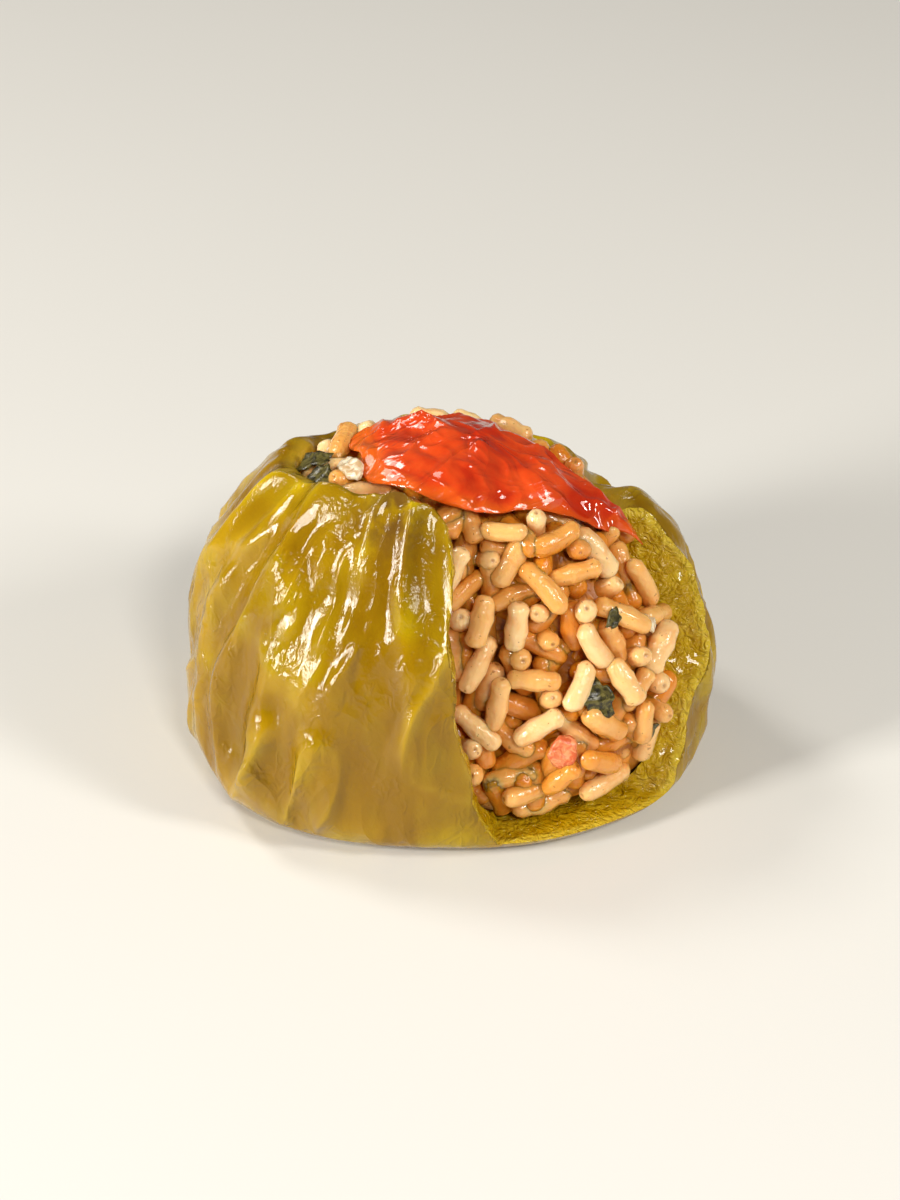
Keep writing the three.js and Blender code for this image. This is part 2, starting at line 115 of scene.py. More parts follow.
def facets(across: Array, along: Array, seed: float, turns: int = 4096) -> Array:
    """Return heights from -1 to 1 of a surface of flat triangles, as crumpled film has them.

    Args:
        across: First coordinate, in cells; it repeats after the given turns.
        along: Second coordinate, in cells.
        seed: Picks the pattern.
        turns: Cells after which the first coordinate repeats.

    Returns:
        The height at each point.
    """
    column = np.floor(across)
    row = np.floor(along)
    u = across - column
    v = along - row
    own = scatter_value(column % turns, row, seed)
    right = scatter_value((column + 1) % turns, row, seed)
    above = scatter_value(column % turns, row + 1, seed)
    beyond = scatter_value((column + 1) % turns, row + 1, seed)
    lower = own + (right - own) * u + (above - own) * v
    upper = beyond + (above - beyond) * (1 - u) + (right - beyond) * (1 - v)
    return 2.0 * np.where(u + v < 1, lower, upper) - 1.0


def spline(points: Sequence[tuple[float, float]], places: Array) -> Array:
    """Return points of a smooth curve through the given ones.

    Args:
        points: The points that the curve passes through.
        places: Where on the curve: 0 is the first point, 1 the second, and so on.

    Returns:
        One row for each place.
    """
    knots = np.array(points)
    last = len(knots) - 1
    index = np.clip(np.floor(places).astype(int), 0, last - 1)
    t = (places - index)[:, None]
    p0 = knots[np.maximum(index - 1, 0)]
    p1 = knots[index]
    p2 = knots[index + 1]
    p3 = knots[np.minimum(index + 2, last)]
    v0 = (p2 - p0) * 0.5
    v1 = (p3 - p1) * 0.5
    return (2 * p1 - 2 * p2 + v0 + v1) * t**3 + (-3 * p1 + 3 * p2 - 2 * v0 - v1) * t**2 + v0 * t + p1


def circle(columns: int) -> Array:
    """Return even angles all the way round, in one row."""
    return np.linspace(0, 2 * np.pi, columns, endpoint=False)[None, :]


def unit(vectors: Array) -> Array:
    """Return vectors of length 1."""
    return vectors / np.maximum(np.linalg.norm(vectors, axis=-1, keepdims=True), 1e-9)


def side_and_up(normals: Array) -> tuple[Array, Array]:
    """Return the level direction and the upward one that lie square to each normal."""
    side = unit(np.cross([0.0, 0.0, 1.0], normals))
    return side, np.cross(normals, side)


@dataclass(frozen=True)
class PepperForm:
    """The pepper's form in millimetres, by the same rule as its solid.

    Angles run anticlockwise from the right, and the window is at the front right.
    """

    half: tuple[float, float] = (44.0, 36.5)
    lobed_low: tuple[float, float] = (-44.47, -36.72)
    lobed_high: tuple[float, float] = (45.94, 37.65)
    rim_height: float = 51.3
    rim_rise: float = 6.0
    high_side: float = math.radians(224)
    rim_twist: float = 1.6
    twist_side: float = math.radians(78)
    rim_ripple: float = 0.6
    rim_dip: float = 4.0
    dip_side: float = math.radians(278)
    dip_width: float = math.radians(10)
    furrow_dip: float = 1.3
    lean: float = 0.22
    lean_side: float = math.radians(248)
    lean_width: float = math.radians(38)
    squareness: float = 0.07
    furrows: tuple[float, ...] = tuple(math.radians(angle) for angle in (35, 122, 203, 305))
    furrow_width: float = math.radians(11)
    furrow_depth: float = 0.08
    flare: float = 7.5
    flare_side: float = math.radians(-5)
    flare_width: float = math.radians(42)
    fold_count: int = 25
    fold_phase: float = math.radians(95)
    fold_depth: float = 1.2
    fold_start: float = 2.0
    fold_full: float = 14.0
    fold_patches: int = 11
    fold_patch_length: float = 19.0
    cut_foot: float = 3.4
    left_cut: float = 0.8
    left_cut_drift: float = 8.5
    left_cut_bend: float = 40.0
    right_cut: float = -23.0
    right_cut_slope: float = 0.5
    cut_ripple: float = 0.45
    outside: tuple[tuple[float, float], ...] = (
        (0, 0.03), (0.2, 0.02), (0.38, 0), (0.58, 0), (0.76, 0), (0.9, 0.025), (0.97, 0.085),
        (1, 0.2), (0.995, 0.34), (0.965, 0.5), (0.9, 0.67), (0.8, 0.83), (0.7, 0.95),
    )
    rim: tuple[tuple[float, float], ...] = ((0.62, 1.0),)
    inside: tuple[tuple[float, float], ...] = (
        (0.545, 0.955), (0.56, 0.87), (0.665, 0.78), (0.79, 0.62), (0.86, 0.46), (0.88, 0.3),
        (0.865, 0.17), (0.79, 0.095), (0.6, 0.075), (0.3, 0.072), (0, 0.072),
    )

    def furrow(self, angle: Any) -> Any:
        """Return how deep in a groove between two lobes an angle lies."""
        return sum(near(angle, centre, self.furrow_width) for centre in self.furrows)

    def rim_at(self, angle: Any) -> Any:
        """Return the height of the mouth's edge at an angle.

        Args:
            angle: Angle round the pepper.

        Returns:
            The height, in millimetres.
        """
        ripple = np.sin(7 * angle + 1) + 0.6 * np.sin(12 * angle)
        rise = self.rim_rise * np.cos(angle - self.high_side)
        twist = self.rim_twist * np.cos(2 * (angle - self.twist_side))
        notch = self.rim_dip * near(angle, self.dip_side, self.dip_width)
        dip = notch + self.furrow_dip * self.furrow(angle)
        return self.rim_height + rise + twist + self.rim_ripple * ripple - dip

    def spread(self, angle: Any, height: Any) -> Any:
        """Return how much wider than the plain oval the pepper is at an angle and a share of its height.

        Args:
            angle: Angle round the pepper.
            height: Share of the rim's height.

        Returns:
            1 where the pepper is just as wide as the oval.
        """
        flare = self.flare / self.half[0] * near(angle, self.flare_side, self.flare_width) * height**2
        lean = self.lean * near(angle, self.lean_side, self.lean_width) * height**3
        corners = self.squareness * np.sin(2 * angle) ** 2 * (1 - height) ** 1.5
        grooves = self.furrow_depth * lerp(0.2, 1.1, smooth(height, 0.1, 0.9)) * self.furrow(angle)
        return 1 + flare - lean + corners - grooves

    def folds(self, angle: Any, z: Any) -> Any:
        """Return the height of the long folds of the skin.

        Args:
            angle: Angle round the pepper.
            z: Height, in millimetres.

        Returns:
            The folds' height in millimetres, below 0 in the grooves.
        """
        sway = 0.9 * np.sin(z / 8 + 3 * angle) + 1.1 * np.sin(2 * angle + 0.6)
        crest = 0.5 + 0.5 * np.sin(self.fold_count * angle + self.fold_phase + sway)
        strength = 0.65 + 0.35 * np.sin(5 * angle + z / 13)
        across = np.sin(z / 4.5 + 2.5 * np.sin(4 * angle))
        return self.fold_depth * (1.9 * strength * crest**1.6 - 0.7 + 0.22 * across)

    def wall_point(self, angle: Array, radius: Array, height: Array, outside: Array) -> Array:
        """Return points of the wall.

        Args:
            angle: Angle round the pepper.
            radius: Share of the half width.
            height: Share of the rim's height.
            outside: 1 on the skin, less where the folds are weaker.

        Returns:
            The points, in millimetres.
        """
        rise = lerp(self.rim_height, self.rim_at(angle), smooth(radius, 0.0, 0.4))
        z = np.maximum(0.0, height * rise)
        fade = smooth(z, self.fold_start, self.fold_full) * smooth(radius, 0.0, 0.5)
        turns = angle / (2 * np.pi)
        patches = soft_noise(turns * self.fold_patches, z / self.fold_patch_length, 2.0, self.fold_patches)
        fold = outside * self.folds(angle, z) * fade * (0.7 + 0.5 * patches)
        reach = radius * self.spread(angle, np.clip(height, 0.0, 1.0)) + fold / self.half[0]
        return np.stack([*self.plan(reach, angle), z], axis=-1)

    def plan(self, reach: Array, angle: Array) -> tuple[Array, Array]:
        """Return X and Y at a share of the half width."""
        return reach * self.half[0] * np.cos(angle), reach * self.half[1] * np.sin(angle)

    def angle_at(self, x: Any, y: Any) -> Any:
        """Return the angle of a point of the plan."""
        return np.arctan2(y / self.half[1], x / self.half[0])

    def height_at(self, x: Any, y: Any, z: Any) -> Any:
        """Return a point's height as a share of the rim's height there."""
        return z / self.rim_at(self.angle_at(x, y))

    def reach_at(self, x: Any, y: Any, height: Any) -> Any:
        """Return how far out a point is, as a share of the pepper's own half width there."""
        plain = np.hypot(x / self.half[0], y / self.half[1])
        return plain / self.spread(self.angle_at(x, y), np.clip(height, 0.0, 1.0))

    def inner_reach(self, height: Any) -> Any:
        """Return the inner face's share of the half width at a share of the height.

        Args:
            height: Share of the rim's height.

        Returns:
            The share, 0 below the floor of the pepper's inside.
        """
        radii = [point[0] for point in reversed(self.inside)]
        heights = [point[1] + 1e-6 * index for index, point in enumerate(reversed(self.inside))]
        return np.where(height < heights[0], 0.0, np.interp(height, heights, radii))

    def left_edge(self, z: Any) -> Any:
        """Return X of the left cut at a height."""
        drift = self.left_cut_drift * np.clip(1 - z / self.left_cut_bend, 0.0, 1.0) ** 2
        return self.left_cut + drift + self.cut_ripple * np.sin(z / 2.3)

    def right_edge(self, z: Any) -> Any:
        """Return Y of the right cut at a height."""
        return self.right_cut + self.right_cut_slope * z + self.cut_ripple * np.sin(z / 1.9 + 1)

    def in_window(self, x: Any, y: Any, z: Any) -> Any:
        """Return whether a point lies where the wall is gone."""
        return (x > self.left_edge(z)) & (y < self.right_edge(z)) & (z > self.cut_foot)


@dataclass(frozen=True)
class SliceForm:
    """The tomato slice's form in millimetres, by the same rule as its solid."""

    centre: tuple[float, float] = (7.2, -2.3)
    length: float = 47.0
    width: float = 24.6
    turn: float = math.radians(-10)
    taper: tuple[float, float] = (0.4, 0.36)
    thick: float = 3.0
    edge: float = 1.7
    crown: float = 1.2
    fold: float = 0.7

    def taper_at(self, along: Any) -> Any:
        """Return the slice's width at a share of its half length, against a plain oval's."""
        end = np.clip(along, -1.0, 1.0)
        return 1 - self.taper[0] * end - self.taper[1] * end * end

    def share_at(self, x: Any, y: Any) -> Any:
        """Return 0 in the slice's middle, 1 on its edge and more beyond it.

        Args:
            x: X, in millimetres.
            y: Y, in millimetres.

        Returns:
            The share at each point.
        """
        dx = x - self.centre[0]
        dy = y - self.centre[1]
        along = (dx * math.cos(self.turn) + dy * math.sin(self.turn)) / (self.length / 2)
        across = dy * math.cos(self.turn) - dx * math.sin(self.turn)
        return np.hypot(along, across / (self.width / 2 * self.taper_at(along)))

    def creases(self, angle: Any, share: Any) -> Any:
        """Return the height of the creases that run from the middle to the edge.

        Args:
            angle: Angle round the slice.
            share: 0 in the slice's middle, 1 on its edge.

        Returns:
            The height, in millimetres.
        """
        long_crease = np.sin(5 * angle + 1.6 * np.sin(2 * angle + 3 * share))
        short_crease = np.sin(9 * angle - 4 * share)
        return self.fold * share * (long_crease + 0.5 * short_crease)

    def plan(self, angle: Array, share: Array) -> tuple[Array, Array]:
        """Return X and Y of a place on the slice.

        Args:
            angle: Angle round the slice.
            share: 0 in the slice's middle, 1 on its edge.

        Returns:
            X and Y, in millimetres.
        """
        bulge = 1 + 0.06 * np.sin(3 * angle + 0.7) + 0.035 * np.sin(7 * angle)
        along = self.length / 2 * share * bulge * np.cos(angle)
        across = self.width / 2 * self.taper_at(share * np.cos(angle)) * share * bulge * np.sin(angle)
        x = self.centre[0] + along * math.cos(self.turn) - across * math.sin(self.turn)
        y = self.centre[1] + along * math.sin(self.turn) + across * math.cos(self.turn)
        return x, y


@dataclass(frozen=True)
class HeapForm:
    """The rice heap's form in millimetres, by the same rule as its solid."""

    pepper: PepperForm
    slice: SliceForm
    top: float = 55.0
    crest_x: float = -2.0
    fall_sideways: float = 0.013
    fall_back: float = 0.022
    fall_front: float = 0.01
    face_top: float = -13.0
    face_slope: float = 0.36
    wall_room: float = 1.7
    spill: float = 1.4
    spill_from: float = 8.0
    spill_full: float = 20.0
    neck: float = 0.955
    slice_lift: float = 2.6
    mouth_depth: float = 2.5
    mouth_reach: float = 0.53
    focus: tuple[float, float, float] = (6.0, -3.0, 25.0)
    search_steps: int = 24
    search_reach: float = 60.0

    def top_at(self, x: Any, y: Any) -> Any:
        """Return the height of the heap over a point of the plan."""
        fall = np.where(y > 0, self.fall_back, self.fall_front)
        return self.top - self.fall_sideways * (x - self.crest_x) ** 2 - fall * y * y

    def face_at(self, z: Any) -> Any:
        """Return Y of the heap's open face at a height."""
        return self.face_top - self.face_slope * (self.top - z)

    def slice_height(self, x: Any, y: Any, share: Any) -> Any:
        """Return the height of the tomato slice's middle layer."""
        return self.top_at(x, y) + self.slice_lift + self.slice.crown * (1 - share**2)

    def reach(self, height: Any) -> Any:
        """Return the share of the half width that the rice fills at a share of the height.

        Args:
            height: Share of the rim's height.

        Returns:
            The share, 0 below the hollow's floor.
        """
        room = self.wall_room / self.pepper.half[0]
        filled = self.pepper.inner_reach(np.minimum(height, self.neck)) - room
        return np.where(height < self.pepper.inside[-1][1], 0.0, filled)

    def inside(self, points: Array) -> Array:
        """Return which points lie in the rice.

        Args:
            points: Points in millimetres, one in each row.

        Returns:
            Whether each point lies in the rice.
        """
        x, y, z = points.T
        height = self.pepper.height_at(x, y, z)
        open_front = (x > self.pepper.left_cut - 1) & (y < self.face_at(z))
        window = self.pepper.in_window(x, y, z) * smooth(z, self.spill_from, self.spill_full)
        limit = self.reach(height) + (self.wall_room + self.spill) / self.pepper.half[0] * window
        return (self.pepper.reach_at(x, y, height) < limit) & (z < self.top_at(x, y)) & ~open_front

    def surface(self, directions: Array) -> Array:
        """Return the heap's surface in each direction from its focus.

        Args:
            directions: Unit vectors, one in each row.

        Returns:
            Points in millimetres, one in each row.
        """
        inner = np.zeros(len(directions))
        outer = np.full(len(directions), self.search_reach)
        for _ in range(self.search_steps):
            middle = (inner + outer) / 2
            held = self.inside(directions * middle[:, None] + self.focus)
            inner = np.where(held, middle, inner)
            outer = np.where(held, outer, middle)
        return directions * inner[:, None] + self.focus

    def normals(self, directions: Array) -> Array:
        """Return the heap's outward normals in each direction from its focus.

        Args:
            directions: Unit vectors, one in each row.

        Returns:
            Unit vectors, one in each row.
        """
        step = 0.06
        side, up = side_and_up(directions)
        across = self.surface(unit(directions + step * side)) - self.surface(unit(directions - step * side))
        along = self.surface(unit(directions + step * up)) - self.surface(unit(directions - step * up))
        return unit(np.cross(across, along))

    def shows(self, points: Array) -> Array:
        """Return which places of the surface show, in the mouth or in the window.

        Args:
            points: Points of the surface, one in each row.

        Returns:
            Whether each point shows.
        """
        x, y, z = points.T
        on_top = z > self.top_at(x, y) - self.mouth_depth
        mouth = on_top & (self.pepper.reach_at(x, y, 1.0) < self.mouth_reach)
        return mouth | self.pepper.in_window(x + 0.5, y + 1.5, z - 1)


@dataclass
class Fit:
    """Brings the raw form to the solid's own width and depth, and to metres."""

    middle: Array
    scale: Array
    limit: Array

    @classmethod
    def between(cls, form: PepperForm, low: Vector, high: Vector) -> "Fit":
        """Return the fit of the lobed form, in millimetres, to the solid's box in metres.

        Args:
            form: The pepper's form.
            low: Least corner of the solid's box.
            high: Greatest corner of the solid's box.

        Returns:
            The fit.
        """
        least = np.array([*form.lobed_low, 0.0])
        most = np.array([*form.lobed_high, 0.0])
        wide = (high.x - low.x) / (most[0] - least[0])
        deep = (high.y - low.y) / (most[1] - least[1])
        limit = np.array([high.x, high.y, math.inf]) - EDGE_ROOM
        return cls((least + most) / 2, np.array([wide, deep, MM]), limit)

    def held(self, points: Array, give: float) -> Array:
        """Ease raw points that stand out of the solid's box back into it.

        Args:
            points: Raw points, in millimetres.
            give: Depth below the box's side, in metres, from which points are eased back.

        Returns:
            The raw points, all inside the box.
        """
        place = self.placed(points)
        over = np.maximum(np.abs(place) - (self.limit - give), 0.0)
        eased = np.abs(place) - over + give * (1 - np.exp(-over / give))
        return np.sign(place) * eased / self.scale + self.middle

    def placed(self, points: Array) -> Array:
        """Return raw points, in millimetres, at their places in metres."""
        return (points - self.middle) * self.scale

    def apply(self, mesh: bpy.types.Mesh) -> None:
        """Move a mesh from raw millimetres to its place in metres."""
        move_points(mesh, self.placed(mesh_points(mesh)))


def mesh_points(mesh: bpy.types.Mesh) -> Array:
    """Return a mesh's points, one in each row.

    Args:
        mesh: The mesh.

    Returns:
        The points, in the mesh's own unit.
    """
    flat = np.empty(len(mesh.vertices) * 3, np.float32)
    mesh.vertices.foreach_get("co", flat)
    return flat.reshape(-1, 3).astype(float)


def move_points(mesh: bpy.types.Mesh, points: Array) -> None:
    """Put a mesh's points in new places."""
    mesh.vertices.foreach_set("co", points.astype(np.float32).ravel())
    mesh.update()


def plain_mesh(name: str, points: Sequence[Any], faces: Sequence[Any]) -> bpy.types.Mesh:
    """Return a mesh with smooth faces.

    Args:
        name: Name of the mesh.
        points: Its points.
        faces: The numbers of each face's points.

    Returns:
        The mesh.
    """
    mesh = bpy.data.meshes.new(name)
    mesh.from_pydata(points, [], faces)
    mesh.polygons.foreach_set("use_smooth", [True] * len(mesh.polygons))
    mesh.update()
    return mesh


def set_values(mesh: bpy.types.Mesh, name: str, values: Array) -> None:
    """Store one number for each point of a mesh."""
    attribute = mesh.attributes.get(name) or mesh.attributes.new(name, "FLOAT", "POINT")
    attribute.data.foreach_set("value", np.asarray(values, np.float32).ravel())


def get_vectors(mesh: bpy.types.Mesh, name: str) -> Array:
    """Return the vector stored for each point of a mesh.

    Args:
        mesh: The mesh.
        name: Name under which the vectors are stored.

    Returns:
        The vectors, one in each row.
    """
    flat = np.empty(len(mesh.vertices) * 3, np.float32)
    mesh.attributes[name].data.foreach_get("vector", flat)
    return flat.reshape(-1, 3).astype(float)


def set_vectors(mesh: bpy.types.Mesh, name: str, values: Array) -> None:
    """Store one vector for each point of a mesh."""
    attribute = mesh.attributes.new(name, "FLOAT_VECTOR", "POINT")
    attribute.data.foreach_set("vector", np.asarray(values, np.float32).ravel())


def grid_mesh(name: str, points: Array) -> bpy.types.Mesh:
    """Build a closed mesh from rings of points.

    Args:
        name: Name of the mesh.
        points: Rings by columns by three; the first and the last ring are each one point.

    Returns:
        The mesh, with smooth faces that point outwards.
    """
    rings, columns = points.shape[:2]
    body = points[1:-1].reshape(-1, 3)
    vertices = np.vstack([points[0, :1], body, points[-1, :1]])
    ring = np.arange(rings - 3)[:, None] * columns + 1
    here = np.arange(columns)[None, :]
    ahead = (here + 1) % columns
    quads = np.stack([ring + here, ring + ahead, ring + columns + ahead, ring + columns + here], axis=-1)
    last = 1 + (rings - 3) * columns
    end = len(vertices) - 1
    faces = [tuple(quad) for quad in quads.reshape(-1, 4).tolist()]
    faces += [(0, 1 + (j + 1) % columns, 1 + j) for j in range(columns)]
    faces += [(end, last + j, last + (j + 1) % columns) for j in range(columns)]
    return plain_mesh(name, vertices.tolist(), faces)


def block_mesh(name: str, counts: tuple[int, int, int], place: Callable[[Array], Array]) -> bpy.types.Mesh:
    """Build a closed block of small square faces.

    Args:
        name: Name of the mesh.
        counts: Number of faces along each side.
        place: Turns points of the unit block into their places.

    Returns:
        The mesh.
    """
    index: dict[tuple[int, int, int], int] = {}
    faces = []

    def corner(key: tuple[int, int, int]) -> int:
        """Return the number of a lattice point, adding it the first time."""
        return index.setdefault(key, len(index))

    for axis in range(3):
        first, second = (axis + 1) % 3, (axis + 2) % 3
        for level in (0, counts[axis]):
            for i in range(counts[first]):
                for j in range(counts[second]):
                    ring = []
                    for di, dj in ((0, 0), (1, 0), (1, 1), (0, 1)):
                        key = [0, 0, 0]
                        key[axis] = level
                        key[first] = i + di
                        key[second] = j + dj
                        ring.append(corner(tuple(key)))
                    faces.append(ring if level else ring[::-1])
    lattice = np.array(list(index), float) / np.array(counts)
    return plain_mesh(name, place(lattice).tolist(), faces)


def ring_values(values: Array) -> Array:
    """Return one value for each point of a mesh built by grid_mesh."""
    return np.concatenate([values[0, :1], values[1:-1].ravel(), values[-1, :1]])


def link(name: str, data: bpy.types.ID) -> bpy.types.Object:
    """Put a mesh, a light or a camera into the scene as an object at the origin.

    Args:
        name: Name of the object.
        data: The mesh, light or camera.

    Returns:
        The object.
    """
    thing = bpy.data.objects.new(name, data)
    bpy.context.scene.collection.objects.link(thing)
    return thing


def aim_at(thing: bpy.types.Object, target: tuple[float, float, float]) -> None:
    """Turn a light or a camera towards a point."""
    towards = Vector(target) - thing.location
    thing.rotation_euler = towards.to_track_quat("-Z", "Y").to_euler()


def settled_mesh(thing: bpy.types.Object, name: str) -> bpy.types.Mesh:
    """Return a plain mesh of an object with its modifiers worked out.

    Args:
        thing: The object.
        name: Name of the new mesh.

    Returns:
        The new mesh.
    """
    view = bpy.context.evaluated_depsgraph_get()
    mesh = bpy.data.meshes.new_from_object(thing.evaluated_get(view), depsgraph=view)
    mesh.name = name
    return mesh


def discard(thing: bpy.types.Object) -> None:
    """Remove a helper object."""
    bpy.data.objects.remove(thing)


class Shade:
    """One output of a shader tree, so that shader maths reads as Python expressions."""

    def __init__(self, tree: "FinishTree", socket: bpy.types.NodeSocket) -> None:
        """Keep the tree and the socket."""
        self.tree = tree
        self.socket = socket

    def __add__(self, other: Any) -> "Shade":
        """Return self + other."""
        return self.tree.math("ADD", self, other)

    def __radd__(self, other: Any) -> "Shade":
        """Return other + self."""
        return self.tree.math("ADD", other, self)

    def __sub__(self, other: Any) -> "Shade":
        """Return self - other."""
        return self.tree.math("SUBTRACT", self, other)

    def __rsub__(self, other: Any) -> "Shade":
        """Return other - self."""
        return self.tree.math("SUBTRACT", other, self)

    def __mul__(self, other: Any) -> "Shade":
        """Return self * other."""
        return self.tree.math("MULTIPLY", self, other)

    def __rmul__(self, other: Any) -> "Shade":
        """Return other * self."""
        return self.tree.math("MULTIPLY", other, self)


class NodeTree:
    """A tree of nodes, with one method that makes any node."""

    def __init__(self, tree: bpy.types.NodeTree) -> None:
        """Start with no nodes.

        Args:
            tree: The tree that the nodes go into.
        """
        self.nodes = tree.nodes
        self.links = tree.links
        self.nodes.clear()

    def node(self, kind: str, settings: Values = NOTHING, sockets: Values = NOTHING) -> bpy.types.Node:
        """Make a node.

        Args:
            kind: The node's type.
            settings: Its own settings, set first.
            sockets: Values or links of its input sockets, by name or number.

        Returns:
            The node.
        """
        made = self.nodes.new(kind)
        for key, value in settings.items():
            setattr(made, key, value)
        for key, value in sockets.items():
            source = value.socket if isinstance(value, Shade) else value
            if isinstance(source, bpy.types.NodeSocket):
                self.links.new(source, made.inputs[key])
            else:
                made.inputs[key].default_value = value
        return made


class FinishTree(NodeTree):
    """A material's node tree."""

    def __init__(self, name: str) -> None:
        """Start an empty material.

        Args:
            name: Name of the material.
        """
        self.material = bpy.data.materials.new(name)
        self.material.use_nodes = True
        super().__init__(self.material.node_tree)
        self.place = Shade(self, self.node("ShaderNodeTexCoord").outputs["Object"])

    def math(self, operation: str, *values: Any) -> Shade:
        """Return the result of a Math node."""
        made = self.node("ShaderNodeMath", {"operation": operation}, dict(enumerate(values)))
        return Shade(self, made.outputs[0])

    def value(self, name: str) -> Shade:
        """Return a number stored on the piece's points."""
        made = self.node("ShaderNodeAttribute", {"attribute_name": name})
        return Shade(self, made.outputs["Fac"])

    def step(self, value: Shade, low: float, high: float) -> Shade:
        """Return a smooth step of a value from 0 at low to 1 at high.

        Args:
            value: The value.
            low: Where the step starts.
            high: Where the step ends.

        Returns:
            The step.
        """
        sockets = {"Value": value, "From Min": low, "From Max": high}
        made = self.node("ShaderNodeMapRange", {"interpolation_type": "SMOOTHSTEP"}, sockets)
        return Shade(self, made.outputs["Result"])

    def stretched(self, scale: tuple[float, float, float]) -> Shade:
        """Return Object coordinates stretched by a scale."""
        made = self.node("ShaderNodeMapping", {}, {"Vector": self.place, "Scale": scale})
        return Shade(self, made.outputs["Vector"])

    def turned(self, scale: tuple[float, float, float], turn: float) -> Shade:
        """Return Object coordinates turned about Z and then stretched.

        Args:
            scale: How much to stretch along each axis after the turn.
            turn: Angle of the turn.

        Returns:
            The coordinates.
        """
        sockets = {"Vector": self.place, "Angle": turn}
        spun = self.node("ShaderNodeVectorRotate", {"rotation_type": "Z_AXIS"}, sockets)
        made = self.node("ShaderNodeMapping", {}, {"Vector": spun.outputs["Vector"], "Scale": scale})
        return Shade(self, made.outputs["Vector"])

    def noise(self, size: float, detail: float, warp: float = 0.0, place: Shade | None = None) -> Shade:
        """Return noise whose blobs are about the given size in metres.

        Args:
            size: Size of a blob, in metres.
            detail: Number of finer layers.
            warp: How much the blobs are bent.
            place: Coordinates to use instead of the plain Object ones.

        Returns:
            Noise from 0 to 1.
        """
        sockets = {"Vector": place or self.place, "Scale": 1 / size, "Detail": detail, "Distortion": warp}
        made = self.node("ShaderNodeTexNoise", {}, sockets)
        return Shade(self, made.outputs["Fac"])

    def mix(self, share: Any, first: Any, second: Any) -> Shade:
        """Return a colour between two colours.

        Args:
            share: 0 for the first colour, 1 for the second.
            first: The first colour.
            second: The second colour.

        Returns:
            The mixed colour.
        """
        colours = [value if isinstance(value, Shade) else (*value, 1.0) for value in (first, second)]
        sockets = {0: share, 6: colours[0], 7: colours[1]}
        made = self.node("ShaderNodeMix", {"data_type": "RGBA"}, sockets)
        return Shade(self, made.outputs[2])

    def crests(self, size: float, detail: float, warp: float, place: Shade | None = None) -> Shade:
        """Return 1 on sharp winding crests, falling off beside them."""
        away = self.noise(size, detail, warp, place) * 2.0 - 1.0
        return 1.0 - 2.0 * self.math("ABSOLUTE", away)

    def bump(self, height: Shade, distance: float, strength: float, under: Shade | None = None) -> Shade:
        """Return a normal bent by a height, over another bent normal where one is given.

        Args:
            height: The height, about 0 to 1.
            distance: What a height of 1 stands for, in metres.
            strength: Share of the bend that is kept.
            under: A normal that is bent already.

        Returns:
            The bent normal.
        """
        sockets: dict[str, Any] = {"Height": height, "Distance": distance, "Strength": strength}
        if under:
            sockets["Normal"] = under
        return Shade(self, self.node("ShaderNodeBump", {}, sockets).outputs["Normal"])

    def finish(self, **sockets: Any) -> bpy.types.Material:
        """Close the tree with one surface shader.

        Args:
            **sockets: Values or links of the shader, with _ for spaces in their names.

        Returns:
            The material.
        """
        named = {key.replace("_", " "): value for key, value in sockets.items()}
        surface = self.node("ShaderNodeBsdfPrincipled", {}, named)
        self.node("ShaderNodeOutputMaterial", {}, {"Surface": surface.outputs[0]})
        return self.material


